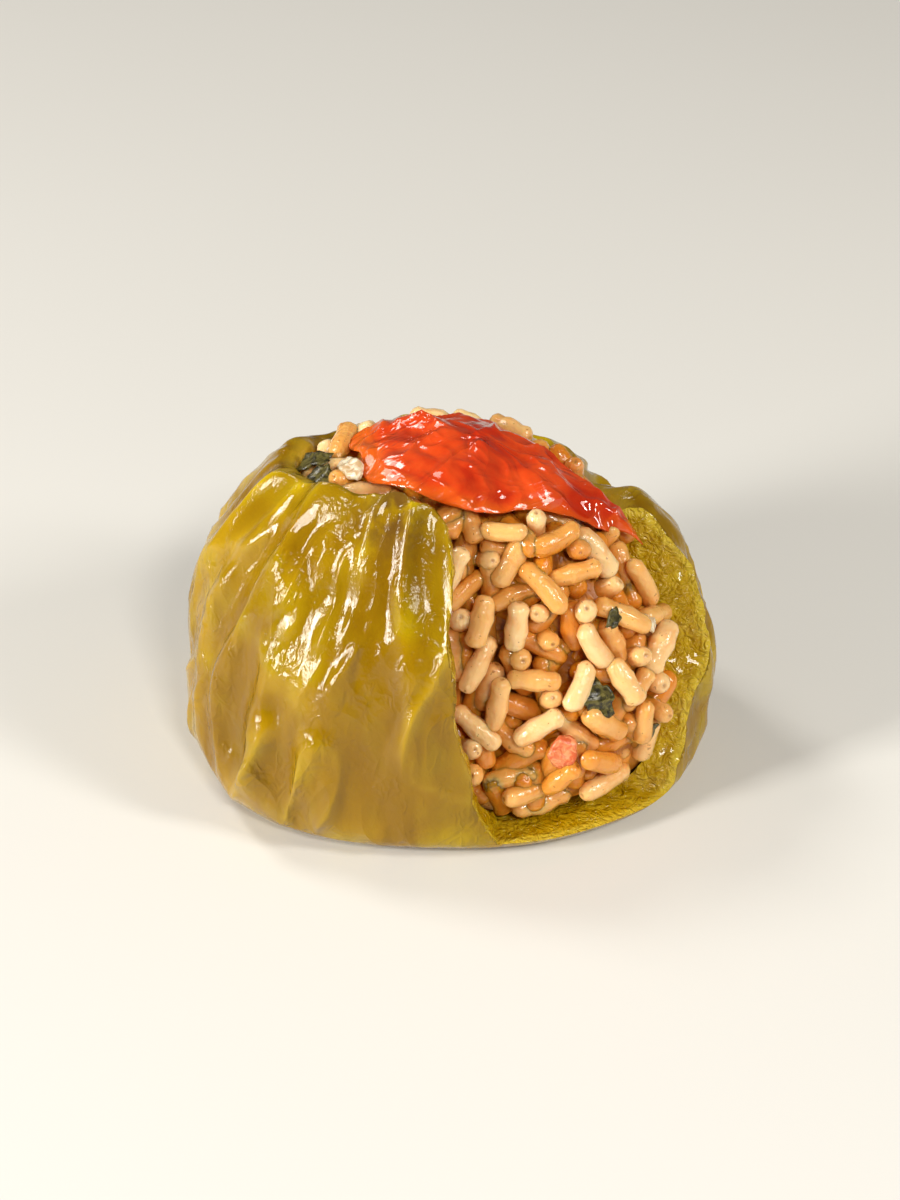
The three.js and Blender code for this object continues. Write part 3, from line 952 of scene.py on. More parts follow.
@dataclass(frozen=True)
class PepperFinish:
    """Cooked pepper: oiled skin over long folds, wet flesh on the cuts, a darker membrane inside, painted
    shade in the valleys of the folds and a painted highlight on the crests of the wrinkles.
    """

    skin_deep: Colour = (0.25, 0.13, 0.0)
    skin_mid: Colour = (0.375, 0.214, 0.0)
    skin_olive: Colour = (0.38, 0.25, 0.0)
    skin_light: Colour = (0.53, 0.362, 0.004)
    # Painted shade: dark colour laid into the valleys between the folds.
    hollow: Colour = (0.2, 0.095, 0.0)
    # Painted highlight: lighter colour laid on the crests of the wrinkles.
    crest: Colour = (0.62, 0.42, 0.03)
    scorch: Colour = (0.12, 0.052, 0.01)
    band: Colour = (0.62, 0.44, 0.03)
    flesh: Colour = (0.4, 0.225, 0.0)
    flesh_light: Colour = (0.54, 0.35, 0.01)
    membrane: Colour = (0.27, 0.14, 0.006)
    rim_inside: Colour = (0.5, 0.32, 0.02)
    speck: Colour = (0.03, 0.02, 0.004)
    patch_size: float = 0.014
    olive_size: float = 0.011
    streak_size: float = 0.004
    scorch_size: float = 0.003
    lump_size: float = 0.009
    speck_size: float = 0.0014
    flesh_size: float = 0.0024
    fibre_size: float = 0.0017
    pore_size: float = 0.0007
    film_size: float = 0.012
    crackle_size: float = 0.0022
    band_depth: tuple[float, float] = (1.9, 1.0)
    film_height: float = 0.001
    fibre_height: float = 0.0014
    gloss: float = 0.09

    def build(self) -> bpy.types.Material:
        """Build the finish's nodes.

        Returns:
            The material.
        """
        tree = FinishTree("pepper_skin_and_flesh")
        knife = tree.value("knife")
        skin = tree.value("skin")
        rim = tree.value("rim")
        patches = tree.noise(self.patch_size, 3.0, 0.6, tree.stretched((1.0, 1.0, 0.5)))
        streaks = tree.noise(self.streak_size, 4.0, 0.4, tree.stretched((1.0, 1.0, 0.35)))
        tone = tree.step(patches * 0.7 + streaks * 0.4, 0.4, 0.68)
        greener = tree.step(tree.noise(self.olive_size, 2.0), 0.4, 0.6)
        olive = tree.mix(greener, self.skin_mid, self.skin_olive)
        outer = tree.mix(tone, self.skin_deep, olive)
        outer = tree.mix(tree.step(patches + rim * 0.25, 0.55, 0.9), outer, self.skin_light)
        # Painted shade: darkens the skin in the valleys between the folds.
        outer = tree.mix(tree.value("hollow") * 0.65, outer, self.hollow)
        # Painted highlight: lightens the skin on the crests of the wrinkles.
        outer = tree.mix(tree.value("crease") * 0.3, outer, self.crest)
        scorched = tree.value("scorch") * tree.step(tree.noise(self.scorch_size, 4.0), 0.35, 0.6)
        outer = tree.mix(scorched * 0.85, outer, self.scorch)
        lumps = tree.noise(self.lump_size, 3.0, 0.4)
        inner = tree.mix(tree.step(lumps, 0.35, 0.65), self.membrane, self.flesh)
        inner = tree.mix(tree.step(rim + lumps * 0.3, 0.55, 0.95), inner, self.rim_inside)
        specks = tree.step(tree.noise(self.speck_size, 2.0), 0.68, 0.71)
        inner = tree.mix(specks * tree.step(rim, 0.2, 0.6), inner, self.speck)
        grain = tree.noise(self.flesh_size, 3.0, 0.8)
        cut = tree.mix(tree.step(grain, 0.3, 0.75), self.flesh, self.flesh_light)
        cut = tree.mix(tree.step(tree.value("depth") + grain * 0.8, *self.band_depth), cut, self.band)
        colour = tree.mix(knife, tree.mix(skin, inner, outer), cut)
        pores = tree.noise(self.pore_size, 3.0)
        film = tree.crests(self.film_size, 1.0, 0.5, tree.stretched((1.0, 1.0, 0.5)))
        crackled = tree.step(tree.noise(self.lump_size, 2.0), 0.42, 0.6)
        crackle = tree.crests(self.crackle_size, 1.5, 0.6, tree.stretched((1.0, 1.0, 0.7))) * crackled
        normal = tree.bump((film + crackle * 0.2) * skin, self.film_height, 0.9)
        fibre = tree.noise(self.fibre_size, 2.0, 1.6) * knife
        normal = tree.bump(pores * 0.08 + fibre, self.fibre_height, 0.8, normal)
        return tree.finish(
            Base_Color=colour, Roughness=self.gloss + knife * 0.02 + streaks * 0.08, Normal=normal, IOR=1.43,
            Specular_IOR_Level=0.32, Subsurface_Weight=0.1, Subsurface_Scale=0.0015,
            Subsurface_Radius=(1.0, 0.55, 0.1), Coat_Weight=0.26, Coat_Roughness=0.03,
        )


@dataclass(frozen=True)
class RiceFinish:
    """Plump cooked rice, oiled and in tomato: each grain has its own tint and a darker dimple at its end;
    painted shade darkens grains low between others and in the lower layer.
    """

    pale: Colour = (0.92, 0.64, 0.33)
    peach: Colour = (0.82, 0.45, 0.14)
    orange: Colour = (0.75, 0.3, 0.035)
    stain: Colour = (0.74, 0.26, 0.012)
    # Darker orange: oiled gaps between the grains, with painted shade there and on the lower layer.
    under: Colour = (0.66, 0.22, 0.008)
    dimple: Colour = (0.3, 0.12, 0.02)
    cloud_size: float = 0.003
    pool_size: float = 0.012
    speck_size: float = 0.0008
    skin_size: float = 0.0009
    relief: float = 0.0008
    gloss: float = 0.14

    def build(self) -> bpy.types.Material:
        """Build the finish's nodes.

        Returns:
            The material.
        """
        tree = FinishTree("cooked_rice_grains")
        tint = tree.value("tint")
        colour = tree.mix(tree.step(tint, 0.0, 0.7), self.pale, self.peach)
        colour = tree.mix(tree.step(tint, 0.7, 1.1), colour, self.orange)
        clouds = tree.noise(self.cloud_size, 3.0, 0.5)
        colour = tree.mix(tree.step(clouds, 0.5, 0.75) * 0.35, colour, self.stain)
        pools = tree.step(tree.noise(self.pool_size, 2.0), 0.3, 0.7)
        # Low between the grains: partly oiled sauce, partly painted shade.
        oil_and_shade = tree.value("oil") * (0.7 + pools * 0.28)
        colour = tree.mix(oil_and_shade, colour, self.under)
        specks = tree.step(tree.noise(self.speck_size, 2.0), 0.68, 0.72)
        colour = tree.mix(specks * 0.6, colour, self.dimple)
        colour = tree.mix(tree.value("dimple") * 0.6, colour, self.dimple)
        # Painted shade: grains of the lower layer are darkened towards the under colour.
        colour = tree.mix(tree.value("depth") * 0.6, colour, self.under)
        skin = tree.noise(self.skin_size, 2.0)
        normal = tree.bump(clouds + skin * 0.3, self.relief, 0.6)
        return tree.finish(
            Base_Color=colour, Roughness=self.gloss + clouds * 0.14, Normal=normal, IOR=1.42,
            Subsurface_Weight=0.8, Subsurface_Scale=0.0015, Subsurface_Radius=(1.0, 0.75, 0.5),
            Coat_Weight=0.35, Coat_Roughness=0.06,
        )


@dataclass(frozen=True)
class SauceFinish:
    """The dark, moist inside of the heap between the grains."""

    deep: Colour = (0.34, 0.1, 0.005)
    warm: Colour = (0.7, 0.26, 0.02)
    lump_size: float = 0.003
    relief: float = 0.0012

    def build(self) -> bpy.types.Material:
        """Build the finish's nodes.

        Returns:
            The material.
        """
        tree = FinishTree("sauce_between_grains")
        lumps = tree.noise(self.lump_size, 4.0, 0.6)
        colour = tree.mix(tree.step(lumps, 0.4, 0.7), self.deep, self.warm)
        normal = tree.bump(lumps, self.relief, 0.8)
        return tree.finish(Base_Color=colour, Roughness=0.3 + lumps * 0.2, Normal=normal)


@dataclass(frozen=True)
class TomatoFinish:
    """Baked tomato: a thin wrinkled red skin, orange flesh where it thins out towards the edge, and a
    painted highlight on the crests of its creases.
    """

    deep: Colour = (0.5, 0.022, 0.002)
    red: Colour = (0.72, 0.065, 0.007)
    orange: Colour = (0.76, 0.12, 0.006)
    # Painted highlight: lighter, pinker colour on the crests of the creases.
    film: Colour = (0.8, 0.17, 0.04)
    patch_size: float = 0.009
    crinkle_size: float = 0.008
    film_size: float = 0.012
    crease_size: float = 0.004
    pore_size: float = 0.0008
    relief: float = 0.0009
    pore_height: float = 0.00004
    gloss: float = 0.07
    dull: float = 0.12

    def build(self) -> bpy.types.Material:
        """Build the finish's nodes.

        Returns:
            The material.
        """
        tree = FinishTree("baked_tomato")
        edge = tree.value("edge")
        patches = tree.noise(self.patch_size, 3.0, 0.8)
        colour = tree.mix(tree.step(patches, 0.35, 0.62), self.deep, self.red)
        colour = tree.mix(tree.step(edge + patches * 0.6, 1.0, 1.5), colour, self.orange)
        # Painted highlight: lightens the skin on the crests of its creases.
        colour = tree.mix(tree.value("crease") * 0.15, colour, self.film)
        crinkled = tree.step(tree.noise(self.crinkle_size, 2.0), 0.42, 0.58)
        film = tree.crests(self.film_size, 1.0, 0.6, tree.turned((0.6, 1.5, 1.0), -0.6))
        small = tree.crests(self.crease_size, 1.0, 0.6, tree.turned((0.6, 1.4, 1.0), -0.5)) * crinkled
        normal = tree.bump(film + small * 0.35, self.relief, 0.9)
        normal = tree.bump(tree.noise(self.pore_size, 3.0, 0.6), self.pore_height, 0.6, normal)
        return tree.finish(
            Base_Color=colour, Normal=normal, IOR=1.46,
            Roughness=self.gloss + tree.step(patches, 0.4, 0.65) * self.dull,
            Subsurface_Weight=0.15, Subsurface_Scale=0.002, Subsurface_Radius=(1.0, 0.2, 0.06),
            Coat_Weight=0.4, Coat_Roughness=0.03,
        )


class BitKind(Enum):
    """What a bit that lies on the rice is."""

    HERB = "herb"
    ONION = "onion"
    TOMATO = "tomato"


@dataclass(frozen=True)
class BitFinish:
    """A bit on the rice: its two tones and how far light goes into it."""

    name: str
    dark: Colour
    light: Colour
    soft: float
    mottle_size: float = 0.0011
    relief: float = 0.0002

    def build(self) -> bpy.types.Material:
        """Build the finish's nodes.

        Returns:
            The material.
        """
        tree = FinishTree(self.name)
        mottle = tree.noise(self.mottle_size, 4.0, 0.8)
        colour = tree.mix(tree.step(mottle, 0.35, 0.65), self.dark, self.light)
        normal = tree.bump(mottle, self.relief, 0.6)
        return tree.finish(
            Base_Color=colour, Roughness=0.16 + mottle * 0.2, Normal=normal,
            Subsurface_Weight=self.soft, Subsurface_Scale=0.0015, Subsurface_Radius=(1.0, 0.7, 0.4),
        )


BIT_FINISHES: dict[BitKind, BitFinish] = {
    BitKind.HERB: BitFinish("chopped_herb", (0.018, 0.015, 0.005), (0.12, 0.1, 0.022), 0.0),
    BitKind.ONION: BitFinish("soft_onion", (0.55, 0.36, 0.18), (0.86, 0.78, 0.6), 0.4),
    BitKind.TOMATO: BitFinish("tomato_bit", (0.62, 0.12, 0.04), (0.84, 0.32, 0.14), 0.4),
}


@dataclass(frozen=True)
class Wrinkles:
    """One layer of wrinkles in the skin.

    Cells are in millimetres, round the pepper and up it. The winding is the share of the slow and of the
    quick sway. Patches say where the wrinkles show: how many go round, how long they are, and their seed.
    """

    height: float
    cell: tuple[float, float]
    winding: tuple[float, float]
    seed: float
    sharpness: float
    patches: tuple[int, float, float]
    shows: tuple[float, float]


@dataclass
class PepperWall:
    """The pepper's wall: skin with folds and creases, the rounded rim, and the window's cut faces.

    Sizes are in millimetres. Points are closest at the side that the photograph shows.
    """

    form: PepperForm
    columns: int = 620
    outer_rows: int = 112
    inner_rows: int = 30
    rim_turn: float = 0.4
    close_side: float = math.radians(250)
    close_share: float = 0.3
    girth: float = 250.0
    slant: float = 0.42
    swell: float = 0.5
    slow_sway: tuple[int, float, float] = (16, 12.0, 3.0)
    quick_sway: tuple[int, float, float] = (34, 7.0, 8.0)
    long_creases: Wrinkles = Wrinkles(
        1.8, (8.6, 24.0), (0.5, 0.12), 5.0, 2.0, (14, 16.0, 12.0), (-0.8, 0.0)
    )
    short_creases: Wrinkles = Wrinkles(
        0.35, (5.2, 11.0), (0.0, 0.5), 21.0, 3.0, (20, 9.0, 31.0), (-0.2, 0.4)
    )
    fine_creases: Wrinkles = Wrinkles(
        0.12, (1.9, 3.4), (0.0, 0.9), 47.0, 3.0, (24, 8.0, 51.0), (0.1, 0.6)
    )
    lobe_cell: tuple[float, float] = (15.0, 24.0)
    lobe_winding: tuple[float, float] = (0.3, 0.0)
    facet: float = 1.5
    facet_cell: tuple[float, float] = (8.6, 13.0)
    facet_winding: tuple[float, float] = (0.5, 0.2)
    inner_bumps: float = 0.5
    inner_patches: tuple[int, float, float] = (60, 4.5, 66.0)
    calm_rim: float = 0.7
    calm_heights: tuple[float, float] = (0.78, 0.95)
    flat_foot: float = 1.2
    full_relief: float = 9.0
    sink: float = 0.8
    give: float = 1.6 * MM
    valley_shade_heights: tuple[float, float] = (-0.6, 1.3)
    scorch_width: float = math.radians(14)
    scorch_heights: tuple[float, float] = (0.8, 0.95)
    sharp_edge: float = math.radians(62)
    cut_size: float = 62.0
    cut_counts: tuple[int, int, int] = (96, 96, 110)
    cut_rough: float = 0.3

    def raw_wall(self) -> tuple[bpy.types.Mesh, BVHTree]:
        """Build the whole wall before it is cut.

        Returns:
            The mesh, in millimetres, and a search tree of the skin alone.
        """
        skin_knots = len(self.form.outside)
        knots = self.form.outside + self.form.rim + self.form.inside
        turn = skin_knots + self.rim_turn
        places = np.concatenate([
            np.linspace(0, turn, self.outer_rows, endpoint=False),
            np.linspace(turn, len(knots) - 1, self.inner_rows),
        ])
        section = spline(knots, places)
        section[[0, -1], 0] = 0.0
        even = circle(self.columns)
        angle = even - self.close_share * np.sin(even - self.close_side) + 0 * section[:, :1]
        radius = section[:, :1] + 0 * angle
        height = section[:, 1:] + 0 * angle
        outside = 1 - 0.7 * smooth(places, skin_knots - 1, skin_knots + 1)[:, None] + 0 * angle
        points = self.form.wall_point(angle, radius, height, outside)
        skin = (1 - smooth(places, skin_knots + 0.1, skin_knots + 0.9))[:, None] + 0 * angle
        lift, crest = self.relief(angle, points, skin)
        fade = smooth(points[..., 2], self.flat_foot, self.full_relief)
        points += self.outward(points) * (lift * fade)[..., None]
        points[..., 2] = np.maximum(points[..., 2], 0.0)
        mesh = grid_mesh("pepper_wall_raw", points)
        # Painted highlight mask: 1 on the crests of the wrinkles.
        set_values(mesh, "crease", ring_values(crest * fade * skin))
        # Painted shade mask: 1 where the skin lies low, in the valleys between the folds.
        hollow = lift + self.sink + 0.8 * self.form.folds(angle, points[..., 2])
        set_values(mesh, "hollow", ring_values((1 - smooth(hollow, *self.valley_shade_heights)) * fade * skin))
        set_values(mesh, "skin", ring_values(skin))
        mesh.attributes.new("knife", "FLOAT", "FACE")
        outer_points = self.outer_rows * self.columns
        faces = [polygon.vertices for polygon in mesh.polygons if polygon.vertices[0] < outer_points]
        return mesh, BVHTree.FromPolygons(mesh_points(mesh).tolist(), faces)

    @staticmethod
    def outward(points: Array) -> Array:
        """Return outward normals of rings of points.

        Args:
            points: Rings of points.

        Returns:
            Unit vectors, one for each point.
        """
        round_way = np.roll(points, -1, axis=1) - np.roll(points, 1, axis=1)
        up_way = np.gradient(points, axis=0)
        return unit(np.cross(round_way, up_way))

    def relief(self, angle: Array, points: Array, skin: Array) -> tuple[Array, Array]:
        """Work out the wrinkles of the skin and the bumps of the inner face.

        Args:
            angle: Angle of each point.
            points: The points of the smooth wall.
            skin: 1 on the skin, 0 on the inner face.

        Returns:
            Height over the smooth wall in millimetres, and 0 to 1 on the crests of the wrinkles.
        """
        steps = np.linalg.norm(np.diff(points, axis=0), axis=2).mean(axis=1)
        along = np.concatenate([[0.0], np.cumsum(steps)])[:, None] + 0 * angle
        turns = angle / (2 * np.pi)

        def patches(count: int, length: float, seed: float) -> Array:
            """Return soft noise with so many patches round the pepper."""
            return soft_noise(turns * count, along / length, seed, count)

        slow_sway = patches(*self.slow_sway)
        quick_sway = patches(*self.quick_sway)

        def lattice(cell: tuple[float, float], winding: tuple[float, float]) -> tuple[Array, Array, int]:
            """Return slanted coordinates in cells of the given size, and the cells in one turn.

            Args:
                cell: Size of a cell, round the pepper and up it.
                winding: Share of the slow and of the quick sway.

            Returns:
                The coordinates across and up, and the cells in one turn.
            """
            count = round(self.girth / cell[0])
            sway = winding[0] * slow_sway + winding[1] * quick_sway
            return turns * count - self.slant * along / cell[0] + sway, along / cell[1] + 0.3 * sway, count

        def wrinkled(layer: Wrinkles) -> Array:
            """Return 0 to 1 for the crests of one layer of wrinkles.

            Args:
                layer: The layer of wrinkles.

            Returns:
                1 on the crests that show, 0 between them.
            """
            across, up, count = lattice(layer.cell, layer.winding)
            crests = ridges(across, up, layer.seed, count, layer.sharpness)
            return crests * smooth(patches(*layer.patches), *layer.shows)

        long_crests = wrinkled(self.long_creases)
        short_crests = wrinkled(self.short_creases)
        lobes = soft_noise(*lattice(self.lobe_cell, self.lobe_winding)[:2], 1.0, 17)
        across, up, count = lattice(self.facet_cell, self.facet_winding)
        lift = self.long_creases.height * long_crests + self.short_creases.height * short_crests
        lift = lift + self.facet * facets(across, up, 44.0, count)
        lift = lift + self.fine_creases.height * wrinkled(self.fine_creases)
        calm = 1 - self.calm_rim * smooth(points[..., 2] / self.form.rim_at(angle), *self.calm_heights)
        bumps = self.inner_bumps * patches(*self.inner_patches)
        lift = skin * ((self.swell * lobes + lift) * calm - self.sink) + (1 - skin) * bumps
        return lift, np.clip(long_crests**4 + 0.4 * short_crests**3, 0.0, 1.0)

    def cutter(self) -> bpy.types.Mesh:
        """Build what the knife took out, with faces as rough as cut flesh.

        Returns:
            The closed mesh, in millimetres, with the mark of the knife on its faces.
        """

        def place(lattice: Array) -> Array:
            """Put the unit block's points in their places.

            Args:
                lattice: Points of the unit block, one in each row.

            Returns:
                Their places, in millimetres.
            """
            size = self.cut_size
            x = lattice[:, 0] * size
            y = (lattice[:, 1] - 1) * size
            z = lattice[:, 2] * size + self.form.cut_foot
            left_tear = soft_noise(y / 1.3, z / 1.6, 61.0) + 0.5 * soft_noise(y / 0.6, z / 0.7, 62.0)
            right_tear = soft_noise(x / 1.1, z / 1.5, 71.0) + 0.5 * soft_noise(x / 0.5, z / 0.6, 72.0)
            on_left = lattice[:, 0] == 0
            on_right = lattice[:, 1] == 1
            x = x + self.form.left_edge(z) + np.where(on_left, self.cut_rough * left_tear, 0.0)
            y = y + self.form.right_edge(z) + np.where(on_right, self.cut_rough * right_tear, 0.0)
            return np.stack([x, y, z], axis=-1)

        mesh = block_mesh("window_cutter", self.cut_counts, place)
        knife = mesh.attributes.new("knife", "FLOAT", "FACE")
        knife.data.foreach_set("value", [1.0] * len(mesh.polygons))
        return mesh

    def cut_wall(self, wall: bpy.types.Mesh) -> bpy.types.Mesh:
        """Return the wall with the window cut out of it.

        Args:
            wall: The whole wall, in millimetres.

        Returns:
            The cut wall, with the mark of the knife on its cut faces.
        """
        body = link("pepper_wall_helper", wall)
        knife = link("window_cutter_helper", self.cutter())
        window = body.modifiers.new("window", "BOOLEAN")
        window.operation = "DIFFERENCE"
        window.solver = "MANIFOLD"
        window.object = knife
        mesh = settled_mesh(body, "pepper_wall")
        discard(body)
        discard(knife)
        return mesh

    def build(self, fit: Fit) -> bpy.types.Mesh:
        """Return the finished wall, with what its material reads stored on its points.

        Args:
            fit: Brings the raw form to its place in metres.

        Returns:
            The mesh, in metres.
        """
        wall, skin_tree = self.raw_wall()
        mesh = self.cut_wall(wall)
        points = mesh_points(mesh)
        depth = np.zeros(len(points))
        for polygon, mark in zip(mesh.polygons, mesh.attributes["knife"].data):
            if mark.value > 0.5:
                for index in polygon.vertices:
                    depth[index] = skin_tree.find_nearest(points[index].tolist())[3] or 0.0
        height = self.form.height_at(*points.T)
        angle = self.form.angle_at(points[:, 0], points[:, 1])
        scorch = near(angle, self.close_side, self.scorch_width) * smooth(height, *self.scorch_heights)
        set_values(mesh, "depth", depth)
        set_values(mesh, "rim", smooth(height, 0.72, 1.0))
        set_values(mesh, "scorch", scorch)
        mesh.set_sharp_from_angle(angle=self.sharp_edge)
        move_points(mesh, fit.held(points, self.give))
        fit.apply(mesh)
        return mesh


DRAW_FACTOR = 1664525
DRAW_SHIFT = 1013904223
DRAW_RANGE = 2**32
EVEN_RISE = 0.7548776662
EVEN_TURN = 0.5698402910


@dataclass
class Grains:
    """Where rice grains lie: middle, direction, length and width of each."""

    home: Array
    normal: Array
    centre: Array
    axis: Array
    length: Array
    width: Array


Layers = Sequence[tuple[Grains, float]]


@dataclass
class RiceScatter:
    """Lays grains on the heap's surface by an even, seeded rule, and moves them apart."""

    heap: HeapForm
    tries: int = 2600
    spacing: float = 3.9
    lengths: tuple[float, float] = (7.6, 10.6)
    widths: tuple[float, float] = (3.5, 4.1)
    on_end: float = 0.16
    end_lean: float = 1.25
    bare_share: float = 0.72
    steps: int = 48
    share: float = 0.86
    push: float = 0.25
    foot_room: float = 0.8
    leash: float = 1.7
    rise: tuple[float, float] = (-1.6, 1.8)
    sink: float = 0.0
    seed: int = 20417

    def draws(self) -> Array:
        """Return five repeatable numbers for each try.

        Returns:
            One row of numbers from 0 to 1 for each try.
        """
        state = self.seed
        values = []
        for _ in range(self.tries * 5):
            state = (state * DRAW_FACTOR + DRAW_SHIFT) % DRAW_RANGE
            values.append(state / DRAW_RANGE)
        return np.array(values).reshape(-1, 5)

    def lay(self) -> Grains:
        """Lay the grains as they first fall.

        Returns:
            The grains, some of which still overlap.
        """
        number = np.arange(self.tries)
        rise = 1 - 2 * ((0.5 + EVEN_RISE * number) % 1)
        turn = 2 * np.pi * ((0.5 + EVEN_TURN * number) % 1)
        level = np.sqrt(1 - rise * rise)
        directions = np.stack([level * np.cos(turn), level * np.sin(turn), rise], axis=-1)
        places = self.heap.surface(directions)
        under_slice = self.heap.slice.share_at(places[:, 0], places[:, 1]) < self.bare_share
        allowed = self.heap.shows(places) & ~under_slice
        kept: list[int] = []
        for i in np.flatnonzero(allowed):
            if kept and np.linalg.norm(places[kept] - places[i], axis=1).min() < self.spacing:
                continue
            kept.append(int(i))
        spin, tilt, size, girth, lift = self.draws()[kept].T
        home = places[kept]
        normal = self.heap.normals(directions[kept])
        side, up = side_and_up(normal)
        on_end = tilt < self.on_end
        lean = np.where(on_end, self.end_lean, 0.8 * (tilt - 0.55))
        flat = side * np.cos(np.pi * spin)[:, None] + up * np.sin(np.pi * spin)[:, None]
        axis = unit(flat * np.cos(lean)[:, None] + normal * np.sin(lean)[:, None])
        length = lerp(self.lengths[0], self.lengths[1], size)
        width = lerp(self.widths[0], self.widths[1], girth)
        out = 1.6 * lift - 0.5 - np.where(on_end, 0.28 * length, 0.0) - self.sink
        return Grains(home, normal, home + normal * out[:, None], axis, length, width)

    def elbow_room(self, tips: Array, radius: Array) -> Array:
        """Return how the grains' tips have to move to stay clear of the wall and of the tomato.

        Args:
            tips: One end of each grain.
            radius: Half width of each grain.

        Returns:
            One move for each grain, in millimetres.
        """
        x, y, z = tips.T
        heap = self.heap
        pepper = heap.pepper
        height = pepper.height_at(x, y, z)
        over = pepper.reach_at(x, y, height) - heap.reach(height) + radius / pepper.half[0]
        pushed = (over > 0) & ~pepper.in_window(x - 0.5, y + 0.5, z)
        move = np.zeros(tips.shape)
        move[:, :2] = np.where(pushed[:, None], -unit(tips[:, :2]) * (over * pepper.half[0])[:, None], 0.0)
        share = heap.slice.share_at(x, y)
        under = heap.slice_height(x, y, share) - heap.slice.thick / 2 - heap.slice.fold
        move[:, 2] = np.where((share < 1.06) & (z + radius > under), under - z - radius, move[:, 2])
        floor = pepper.cut_foot + self.foot_room
        move[:, 2] = np.where(z - radius < floor, floor + radius - z, move[:, 2])
        return move

    def settle(self, grains: Grains) -> Grains:
        """Move overlapping grains apart, a little at a time.

        Args:
            grains: The grains as they fell.

        Returns:
            The same grains, moved.
        """
        first, second = np.triu_indices(len(grains.length), 1)
        reach = (grains.length - grains.width) / 2
        wanted = self.share * (grains.width[first] + grains.width[second]) / 2
        for _ in range(self.steps):
            apart = grains.centre[first] - grains.centre[second]
            dot = (grains.axis[first] * grains.axis[second]).sum(1)
            on_first = (grains.axis[first] * apart).sum(1)
            on_second = (grains.axis[second] * apart).sum(1)
            slant = np.maximum(1 - dot * dot, 1e-6)
            s = np.clip((dot * on_second - on_first) / slant, -reach[first], reach[first])
            t = np.clip(dot * s + on_second, -reach[second], reach[second])
            s = np.clip(dot * t - on_first, -reach[first], reach[first])
            way = apart + grains.axis[first] * s[:, None] - grains.axis[second] * t[:, None]
            distance = np.maximum(np.linalg.norm(way, axis=1), 1e-3)
            close = (distance < wanted) & (np.linalg.norm(apart, axis=1) <= self.lengths[1])
            push = way * np.where(close, self.push * (wanted - distance) / distance, 0.0)[:, None]
            np.add.at(grains.centre, first, push)
            np.add.at(grains.centre, second, -push)
            away = grains.centre - grains.home
            rise = (away * grains.normal).sum(1)
            flat = away - grains.normal * rise[:, None]
            far = np.linalg.norm(flat, axis=1)
            flat *= np.minimum(1.0, self.leash / np.maximum(far, 1e-9))[:, None]
            low, high = self.rise[0] - self.sink, self.rise[1] - self.sink
            grains.centre = grains.home + flat + grains.normal * np.clip(rise, low, high)[:, None]
            for end in (-0.5, 0.5):
                tips = grains.centre + grains.axis * (end * (grains.length - grains.width))[:, None]
                grains.centre = grains.centre + 0.5 * self.elbow_room(tips, grains.width / 2)
        return grains


class GeometryTree(NodeTree):
    """A Geometry Nodes tree with named inputs."""

    def __init__(self, name: str, sizes: dict[str, tuple[str, Any]]) -> None:
        """Start a tree.

        Args:
            name: Name of the tree.
            sizes: Named inputs: their socket type and their starting value.
        """
        self.group = bpy.data.node_groups.new(name, "GeometryNodeTree")
        super().__init__(self.group)
        face = self.group.interface
        face.new_socket("Geometry", in_out="INPUT", socket_type="NodeSocketGeometry")
        for label, (kind, value) in sizes.items():
            socket = face.new_socket(label, in_out="INPUT", socket_type=kind)
            if value is not None:
                socket.default_value = value
        face.new_socket("Geometry", in_out="OUTPUT", socket_type="NodeSocketGeometry")
        self.start = self.node("NodeGroupInput")
        self.end = self.node("NodeGroupOutput")

    def stored(self, name: str, kind: str) -> bpy.types.NodeSocket:
        """Return a value stored on the points."""
        made = self.node("GeometryNodeInputNamedAttribute", {"data_type": kind}, {"Name": name})
        return made.outputs["Attribute"]

    def close(self, geometry: bpy.types.NodeSocket) -> None:
        """Send a geometry to the tree's output."""
        self.links.new(geometry, self.end.inputs["Geometry"])

    def attach(self, thing: bpy.types.Object, values: dict[str, Any]) -> None:
        """Put the tree on an object and set its inputs by their identifiers.

        Args:
            thing: The object.
            values: Values of the inputs, by their names.
        """
        modifier = thing.modifiers.new(self.group.name, "NODES")
        modifier.node_group = self.group
        for item in self.group.interface.items_tree:
            if item.item_type == "SOCKET" and item.in_out == "INPUT" and item.name in values:
                modifier[item.identifier] = values[item.name]


@dataclass(frozen=True)
class GrainKind:
    """One shape of grain: how blunt its ends are, how much its far end thins, and where its lumps are."""

    name: str
    fullness: float
    taper: float
    lumps_at: float


GRAIN_KINDS: tuple[GrainKind, ...] = (
    GrainKind("grain_blunt", 3.6, 0.0, 0.0),
    GrainKind("grain_even", 3.0, 0.04, 2.1),
    GrainKind("grain_full", 4.0, 0.06, 3.3),
    GrainKind("grain_slim", 2.6, 0.14, 4.4),
    GrainKind("grain_waisted", 3.4, -0.04, 5.4),
)


